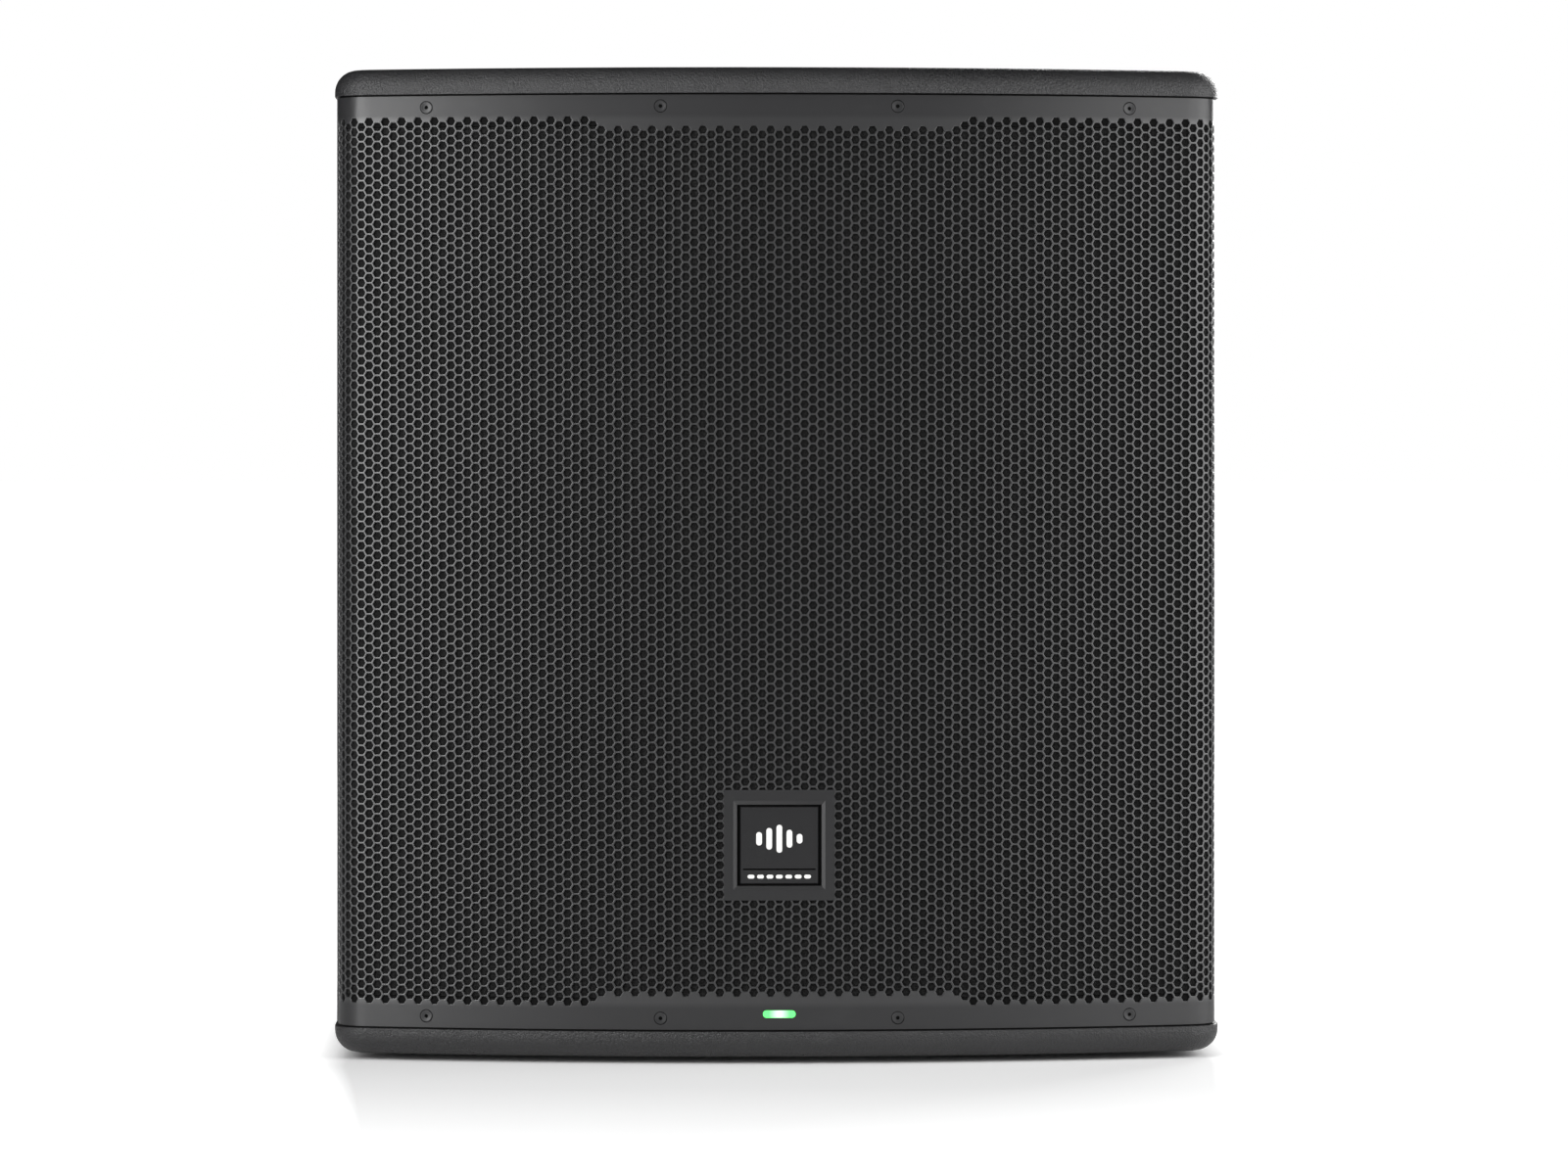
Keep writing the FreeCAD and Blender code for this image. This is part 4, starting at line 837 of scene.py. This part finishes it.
# --- badge, screws and light --------------------------------------------------------------------------
def badge(middle, line):
    """Square sheet with a bevelled frame, an inner plate with a groove, black sheets of painted shadow in
    the frame's gap and the groove, and white inlays.
    """
    frame_piece = rectangle("badge_surround", BADGE_SQUARE, BADGE_SQUARE, (middle, 0, BADGE_Z))
    open_edit(frame_piece)
    pick_all()
    push(y=-BADGE_SHEET)
    inset((BADGE_SQUARE - BADGE_FRAME[0]) / 2)
    bpy.ops.transform.resize(value=(1, 1, BADGE_FRAME[1] / BADGE_FRAME[0]),
                             center_override=(middle, 0, BADGE_Z))
    inset(2.4 * MM, depth=BADGE_CREST - BADGE_SHEET)
    inset(0.2 * MM)
    inset(0.1 * MM, depth=-BADGE_CREST + BADGE_SHEET + 0.05 * MM)
    close_outwards()
    slice_across(frame_piece, middle - BADGE_SQUARE / 2, middle + BADGE_SQUARE / 2, 14)
    wrap(frame_piece, line)
    smooth(frame_piece, 12)
    place(frame_piece, MATERIAL["badge_metal"], "cabinet", "badge_metal", "badge_frame")

    plate = rectangle("badge_inner_plate", *BADGE_PLATE, (middle, -BADGE_SHEET, BADGE_Z))
    raise_face(plate, PLATE_TOP - BADGE_SHEET, 0.45 * MM)
    groove_z, groove_half = BADGE_Z - 16.2 * MM, 24.4 * MM
    open_edit(plate)
    for cut_z in (groove_z - 0.55 * MM, groove_z + 0.55 * MM):
        pick_all()
        bpy.ops.mesh.bisect(plane_co=(0, 0, cut_z), plane_no=(0, 0, 1))
    for cut_x in (middle - groove_half, middle + groove_half):
        pick_all()
        bpy.ops.mesh.bisect(plane_co=(cut_x, 0, 0), plane_no=(1, 0, 0))

    def in_groove(face):
        centre = face.calc_center_median()
        inside = abs(centre.z - groove_z) < 0.5 * MM and abs(centre.x - middle) < 20 * MM
        return inside and centre.y < -PLATE_TOP + 0.1 * MM

    pick_faces(in_groove)
    push(y=0.6 * MM)
    close_edit()
    slice_across(plate, middle - BADGE_PLATE[0] / 2, middle + BADGE_PLATE[0] / 2, 10)
    wrap(plate, line)
    smooth(plate, 12)
    place(plate, MATERIAL["badge_enamel"], "cabinet", "badge_enamel", "badge_plate")

    # Painted shadow: a black sheet under the plate shows in the gap round it, and a black strip lies on the
    # groove's floor.
    shadows = [
        rectangle("badge_shadow_gaps", BADGE_FRAME[0] - 5.6 * MM, BADGE_FRAME[1] - 5.6 * MM,
                  (middle, -BADGE_SHEET - 0.07 * MM, BADGE_Z)),
        rectangle("groove shadow", 2 * groove_half - 0.1 * MM, 1.0 * MM,
                  (middle, -PLATE_TOP + 0.55 * MM, groove_z))]
    for shadow in shadows:
        raise_face(shadow, 0.05 * MM)
    join(shadows)
    slice_across(shadows[0], middle - BADGE_FRAME[0] / 2, middle + BADGE_FRAME[0] / 2, 12)
    wrap(shadows[0], line)
    place(shadows[0], MATERIAL["painted_gap_shadow"], "cabinet", "badge_enamel")

    inlays = []
    for i, height in enumerate((9, 14.5, 18.8, 12, 6.5)):
        at = (middle + (i - 2) * 6.8 * MM, -PLATE_TOP + 0.1 * MM, BADGE_Z + 4.4 * MM)
        bar = stadium("badge_inlays", height * MM, 3.9 * MM, at, upright=True)
        raise_face(bar, 0.3 * MM, 0.1 * MM)
        inlays.append(bar)
    dot = stadium("dot", 4.6 * MM, 2.6 * MM,
                  (middle - 19 * MM, -PLATE_TOP + 0.1 * MM, BADGE_Z - 21.1 * MM))
    raise_face(dot, 0.3 * MM, 0.1 * MM)
    inlays.append(dot)
    inlays += [moved(dot, "dot", x=i * 6.33 * MM) for i in range(1, 7)]
    join(inlays)
    wrap(inlays[0], line)
    smooth(inlays[0])
    place(inlays[0], MATERIAL["emblem_white"], "cabinet", "emblem_white")


def screws(middle, line):
    """Dished heads with a round recess, each on a thin black ring of painted shadow round its edge."""
    head = start("screw head", bpy.ops.mesh.primitive_circle_add, vertices=32, radius=3.95 * MM,
                 fill_type="NGON", rotation=UPRIGHT)
    open_edit(head)
    pick_all()
    push(y=-0.1 * MM)
    inset(0.25 * MM, depth=0.2 * MM)
    inset(0.7 * MM)
    inset(0.5 * MM, depth=-0.15 * MM)
    inset(1.2 * MM)
    push(y=0.6 * MM)
    close_outwards()
    # A black disc, a little wider than the head, sits under it: painted shadow round the head's edge.
    ring = start("screw shadow ring", bpy.ops.mesh.primitive_circle_add, vertices=32, radius=4.45 * MM,
                 fill_type="NGON", rotation=UPRIGHT)
    raise_face(ring, 0.06 * MM)
    for first, name, material in (
            (head, "grille_screw_heads", "grille_steel"), (ring, "grille_screw_shadow_rings", "painted_gap_shadow")):
        copies = [
            moved(first, name, x=middle + x, z=z)
            for z in (GRILLE_LOW.z + SCREW_EDGE, GRILLE_HIGH.z - SCREW_EDGE) for x in SCREW_X]
        bpy.data.objects.remove(first)
        piece = join(copies)
        wrap(piece, line)
        smooth(piece)
        place(piece, MATERIAL[material], "cabinet", "black_screw", "grille_screws")


def status_light(middle, line):
    """Domed light bar."""
    lens = stadium("status_light_bar", 22 * MM, 5 * MM, (middle, 0, LIGHT_Z))
    open_edit(lens)
    pick_all()
    push(y=-0.12 * MM)
    inset(0.5 * MM, depth=0.1 * MM)
    inset(0.8 * MM, depth=0.06 * MM)
    close_outwards()
    wrap(lens, line)
    smooth(lens, 50)
    place(lens, MATERIAL["green_lens"], "cabinet", "green_lens", "status_light_lens")


def front_fittings():
    middle = outline_length(GRILLE_INSET, GRILLE_HIGH.y) / 2
    line = outline(GRILLE_INSET, GRILLE_HIGH.y)
    badge(middle, line)
    screws(middle, line)
    status_light(middle, line)
    bpy.data.objects.remove(line)


# --- woofer's soft parts ------------------------------------------------------------------------------
def profile_start(name, radius, y):
    """A single point on the profile, left in edit mode and selected."""
    piece = start(name, bpy.ops.mesh.primitive_plane_add, size=MM, location=(radius, y, WOOFER_Z))
    open_edit(piece)
    bpy.ops.mesh.select_mode(type="VERT")
    pick_all()
    bpy.ops.mesh.merge(type="CENTER")
    return piece


def trace(x=0.0, y=0.0):
    bpy.ops.mesh.extrude_vertices_move(TRANSFORM_OT_translate={"value": (x, y, 0)})


def turn_profile(piece, thickness):
    """Turns the profile about the woofer's axis and gives it its thickness."""
    pick_all()
    bpy.ops.mesh.spin(steps=128, angle=2 * math.pi, center=(0, 0, WOOFER_Z), axis=(0, 1, 0))
    close_edit()
    weld(piece)
    apply_modifier(piece, "SOLIDIFY", thickness=thickness, offset=0.0)
    weld(piece)
    smooth(piece, 50)


def follow(piece, held, moving):
    """Lets the piece stretch between the basket, beyond radius held, and the cone, within moving."""
    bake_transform(piece, "cabinet", "cone", start=(0, -0.01, WOOFER_Z), end=(0, 0.01, WOOFER_Z))
    weights = piece.data.attributes["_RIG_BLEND"]
    for vert, weight in zip(piece.data.vertices, weights.data):
        radius = math.hypot(vert.co.x, vert.co.z - WOOFER_Z)
        share = min(1.0, max(0.0, (held - radius) / (held - moving)))
        weight.value = share * share * (3 - 2 * share)


def surround():
    """Half-roll surround between the cone and the basket's rim."""
    piece = profile_start("surround_roll", CONE_EDGE, SURROUND_Y)
    for _ in range(2):
        trace(x=(ROLL_MIDDLE - ROLL_R - CONE_EDGE) / 2)
    bpy.ops.mesh.spin(
        steps=16, angle=-math.pi, center=(ROLL_MIDDLE, SURROUND_Y, WOOFER_Z), axis=(0, 0, 1))
    for _ in range(2):
        trace(x=(RIM_EDGE - ROLL_MIDDLE - ROLL_R) / 2)
    turn_profile(piece, 1.0 * MM)
    place(piece, MATERIAL["surround_cloth"], None, "surround_cloth", "woofer_surround")
    return piece


def spider():
    """Corrugated disc that centres the coil."""
    piece = profile_start("spider_disc", SPIDER_NECK, SPIDER_Y)
    last_x, last_y = SPIDER_NECK, SPIDER_Y
    steps = SPIDER_WAVES * SPIDER_WAVE_STEPS
    for i in range(steps + 1):
        next_x = SPIDER_INNER + (SPIDER_OUTER - SPIDER_INNER) * i / steps
        next_y = SPIDER_Y - 3.0 * MM * math.cos(2 * math.pi * i / SPIDER_WAVE_STEPS)
        trace(next_x - last_x, next_y - last_y)
        last_x, last_y = next_x, next_y
    trace(SPIDER_SHOULDER - last_x, SPIDER_RIM_Y - last_y)
    trace(x=SPIDER_LIP)
    turn_profile(piece, 0.6 * MM)
    place(piece, MATERIAL["spider_cloth"], None, "spider_cloth", "woofer_spider")
    return piece


# --- rear panel's print -------------------------------------------------------------------------------
def printed(name, shapes, height, material, body, slot):
    """Joins flat shapes into one thin raised print facing the back."""
    piece = join(shapes)
    piece.name = name
    piece.data.name = name
    raise_face(piece, height, facing=1)
    return place(piece, MATERIAL[material], body, slot)


def ring_shape(name, radius, width, place_, rotation=REARWARD, vertices=32):
    piece = start(name, bpy.ops.mesh.primitive_circle_add, vertices=vertices, radius=radius,
                  fill_type="NGON", location=place_, rotation=rotation)
    open_edit(piece)
    pick_all()
    inset(width)
    bpy.ops.mesh.delete(type="FACE")
    close_edit()
    return piece


def panel_print():
    """Scale round the knob, rules between the groups, a ring and an arrow beside each socket."""
    y = PANEL_Y + 0.01 * MM
    shapes = []
    for i in range(11):
        length = 3.2 * MM if i % 5 else 5.0 * MM
        tick = rectangle("tick", 1.0 * MM, length, (0, y, KNOB_Z + 22.5 * MM), REARWARD)
        open_edit(tick)
        pick_all()
        bpy.ops.transform.rotate(value=math.radians(-150 + 30 * i), orient_axis="Y",
                                 center_override=(0, y, KNOB_Z))
        close_edit()
        shapes.append(tick)
    for z in RULE_ROWS:
        shapes.append(rectangle("rule", 196 * MM, 0.8 * MM, (0, y, z), REARWARD))
    for z in (INPUT_ROW, OUTPUT_ROW):
        for x in (-30 * MM, 30 * MM):
            arrow = start("arrow", bpy.ops.mesh.primitive_circle_add, vertices=3, radius=3.2 * MM,
                          fill_type="NGON", location=(x * 1.9, y, z), rotation=REARWARD)
            if z == OUTPUT_ROW:
                open_edit(arrow)
                pick_all()
                bpy.ops.transform.rotate(value=math.pi, orient_axis="Y", center_override=(x * 1.9, y, z))
                close_edit()
            shapes.append(arrow)
            shapes.append(ring_shape("socket ring", 2.4 * MM, 0.6 * MM, (x * 2.3, y, z)))
    mains = (-63 * MM, y, 226 * MM)
    shapes.append(ring_shape("mains ring", 4.5 * MM, 0.7 * MM, mains))
    shapes.append(rectangle("mains bar", 0.9 * MM, 3.4 * MM, mains, REARWARD))
    for z in NOTE_ROWS:
        shapes.append(rectangle("note", 120 * MM, 0.9 * MM, (0, y, z), REARWARD))
    printed("panel_print", shapes, 0.05 * MM, "emblem_white", "cabinet", "emblem_white")


def display_picture():
    """Level bars and a frame on the lit screen."""
    y = DISPLAY_Y + 0.02 * MM
    shapes = []
    for row in range(2):
        for i in range(12):
            shapes.append(rectangle("segment", 3.0 * MM, 3.2 * MM, (
                (i - 5.5) * 4.1 * MM, y, DISPLAY_Z - (11 - row * 6) * MM), REARWARD))
    for i in range(5):
        shapes.append(rectangle("column", 6 * MM, (4 + 3 * i) * MM, (
            (i * 9 - 22) * MM, y, DISPLAY_Z + (2 + 1.5 * i) * MM), REARWARD))
    shapes.append(rectangle("edge", 56 * MM, 0.6 * MM, (0, y, DISPLAY_Z + 17 * MM), REARWARD))
    printed("display_picture", shapes, 0.1 * MM, "screen_glow", "cabinet", "display_screen")


def rocker_marks():
    """A bar and a ring on the rocker's two faces."""
    x = (SWITCH_LOW.x + SWITCH_HIGH.x) / 2
    z = (SWITCH_LOW.z + SWITCH_HIGH.z) / 2
    bar = rectangle("rocker_marks", 0.9 * MM, 4.2 * MM, (x, 335.98 * MM, z + 6.35 * MM), REARWARD)
    ring = ring_shape("ring", 2.2 * MM, 0.7 * MM, (x, 338.07 * MM, z - 5.47 * MM),
                      (math.radians(-71.2), 0, 0), 24)
    printed("rocker_marks", [bar, ring], 0.12 * MM, "emblem_white", "power_rocker", "emblem_white")


def knob_pointer():
    """White line in the knob's groove."""
    at = (0, KNOB_HIGH.y - 0.55 * MM, KNOB_Z + 9.5 * MM)
    printed("knob_pointer", [rectangle("knob_pointer", 1.3 * MM, 6.8 * MM, at, REARWARD)], 0.2 * MM,
            "emblem_white", "encoder_knob_and_shaft", "emblem_white")


# --- surroundings -------------------------------------------------------------------------------------
def seen_by_camera(tree, otherwise, to_camera, output):
    """One shader for what the camera sees itself, another for all other light."""
    seen = node(tree, "ShaderNodeLightPath")
    mix = node(tree, "ShaderNodeMixShader", [
        (0, seen.outputs["Is Camera Ray"]), (1, otherwise), (2, to_camera)])
    tree.links.new(mix.outputs[0], tree.nodes[output].inputs["Surface"])


def floor():
    """Pale floor that shines where the camera sees it, with a soft painted shadow in front of the cabinet.
    """
    ground = start("floor", bpy.ops.mesh.primitive_plane_add, size=FLOOR_SIZE, location=(0, 0, -0.2 * MM))
    material, tree, shader = blank(
        "pale floor", Roughness=1.0, Emission_Strength=1.0, Specular_IOR_Level=0.0,
        Base_Color=FLOOR_COLOUR)
    matt = node(tree, "ShaderNodeBsdfDiffuse", [("Color", FLOOR_COLOUR)])
    where = split(tree, object_place(tree))
    # Painted shadow: the glow is dimmed from black at the cabinet's foot to full over 1.3 m in front of it,
    # the patch narrowing as it goes; beside and behind the cabinet the floor stays fully bright.
    ahead = remap(tree, where["Y"], FRONT_Y, FRONT_Y - 1.3)
    painted_floor_shadow = node(tree, "ShaderNodeValToRGB", [(0, ahead)])
    ramp = painted_floor_shadow.color_ramp
    for position, value in FLOOR_PAINTED_SHADOW:
        ramp.elements.new(position).color = (value, value, value, 1)
    ramp.elements[0].color = (0, 0, 0, 1)
    narrowing = remap(tree, where["Y"], FRONT_Y, FRONT_Y - 1.0, 1.0, 1.30)
    aside = maths(tree, "ABSOLUTE", maths(tree, "MULTIPLY", where["X"], narrowing))
    beside = remap(tree, aside, HALF_WIDTH - 0.01, HALF_WIDTH + 0.03)
    behind = remap(tree, where["Y"], -FRONT_Y, -FRONT_Y + 0.2)
    around = maths(tree, "MAXIMUM", beside, behind)
    glow = maths(tree, "MAXIMUM", around, painted_floor_shadow.outputs[0])
    tree.links.new(glow, shader.inputs["Emission Color"])
    seen_by_camera(tree, matt.outputs[0], shader.outputs[0], "Material Output")
    ground.data.materials.append(material)


def softbox(name, place_, size, power, towards=(0, 0, 0.34)):
    """Rectangular light of a size in metres and a power in watts, turned towards a point."""
    lamp = bpy.data.lights.new(name, "AREA")
    lamp.shape = "RECTANGLE"
    lamp.size, lamp.size_y = size
    lamp.energy = power
    stand = bpy.data.objects.new(name, lamp)
    bpy.context.scene.collection.objects.link(stand)
    stand.location = place_
    direction = Vector(towards) - Vector(place_)
    stand.rotation_euler = direction.to_track_quat("-Z", "Y").to_euler()


def studio():
    """White backdrop for the camera, dim room light, and five softboxes."""
    world = bpy.data.worlds.new("studio")
    world.use_nodes = True
    bpy.context.scene.world = world
    tree = world.node_tree
    backdrop = tree.nodes["Background"]
    backdrop.inputs["Color"].default_value = (1, 1, 1, 1)
    backdrop.inputs["Strength"].default_value = 1.0
    room = node(tree, "ShaderNodeBackground", [("Color", (1, 1, 1, 1)), ("Strength", ROOM_LIGHT)])
    seen_by_camera(tree, room.outputs[0], backdrop.outputs[0], "World Output")
    softbox("left softbox", (-1.78, -1.88, 0.9), (1.35, 2.0), LEFT_POWER)
    softbox("right softbox", (1.70, -1.95, 0.9), (1.2, 2.0), RIGHT_POWER)
    softbox("side softbox", (2.3, -0.55, 0.9), (1.8, 2.0), SIDE_POWER)
    softbox("top softbox", (-0.7, -1.3, 2.3), (1.5, 1.2), TOP_POWER, (-0.1, -0.3, 0.6))
    softbox("rear softbox", (1.6, 3.2, 1.4), (2.0, 2.0), REAR_POWER)


def camera():
    """Level long-lens view from the front, a little to the left of the middle."""
    data = bpy.data.cameras.new("camera")
    view = bpy.data.objects.new("camera", data)
    bpy.context.scene.collection.objects.link(view)
    data.sensor_width = 36.0
    data.lens = LENS
    data.shift_y = LENS_SHIFT
    data.clip_end = FLOOR_SIZE
    view.location = (CAMERA_X, GRILLE_FACE_Y - CAMERA_AWAY, CAMERA_Z)
    view.rotation_euler = (math.radians(90), 0, CAMERA_TURN)
    bpy.context.scene.camera = view
    bpy.context.scene.view_settings.view_transform = "Standard"


camera()
paint_design_nodes()
grille()
foam()
front_fittings()
follow(surround(), HELD_BEYOND, MOVING_WITHIN)
follow(spider(), SPIDER_SHOULDER, SPIDER_INNER)
panel_print()
display_picture()
rocker_marks()
knob_pointer()
floor()
studio()
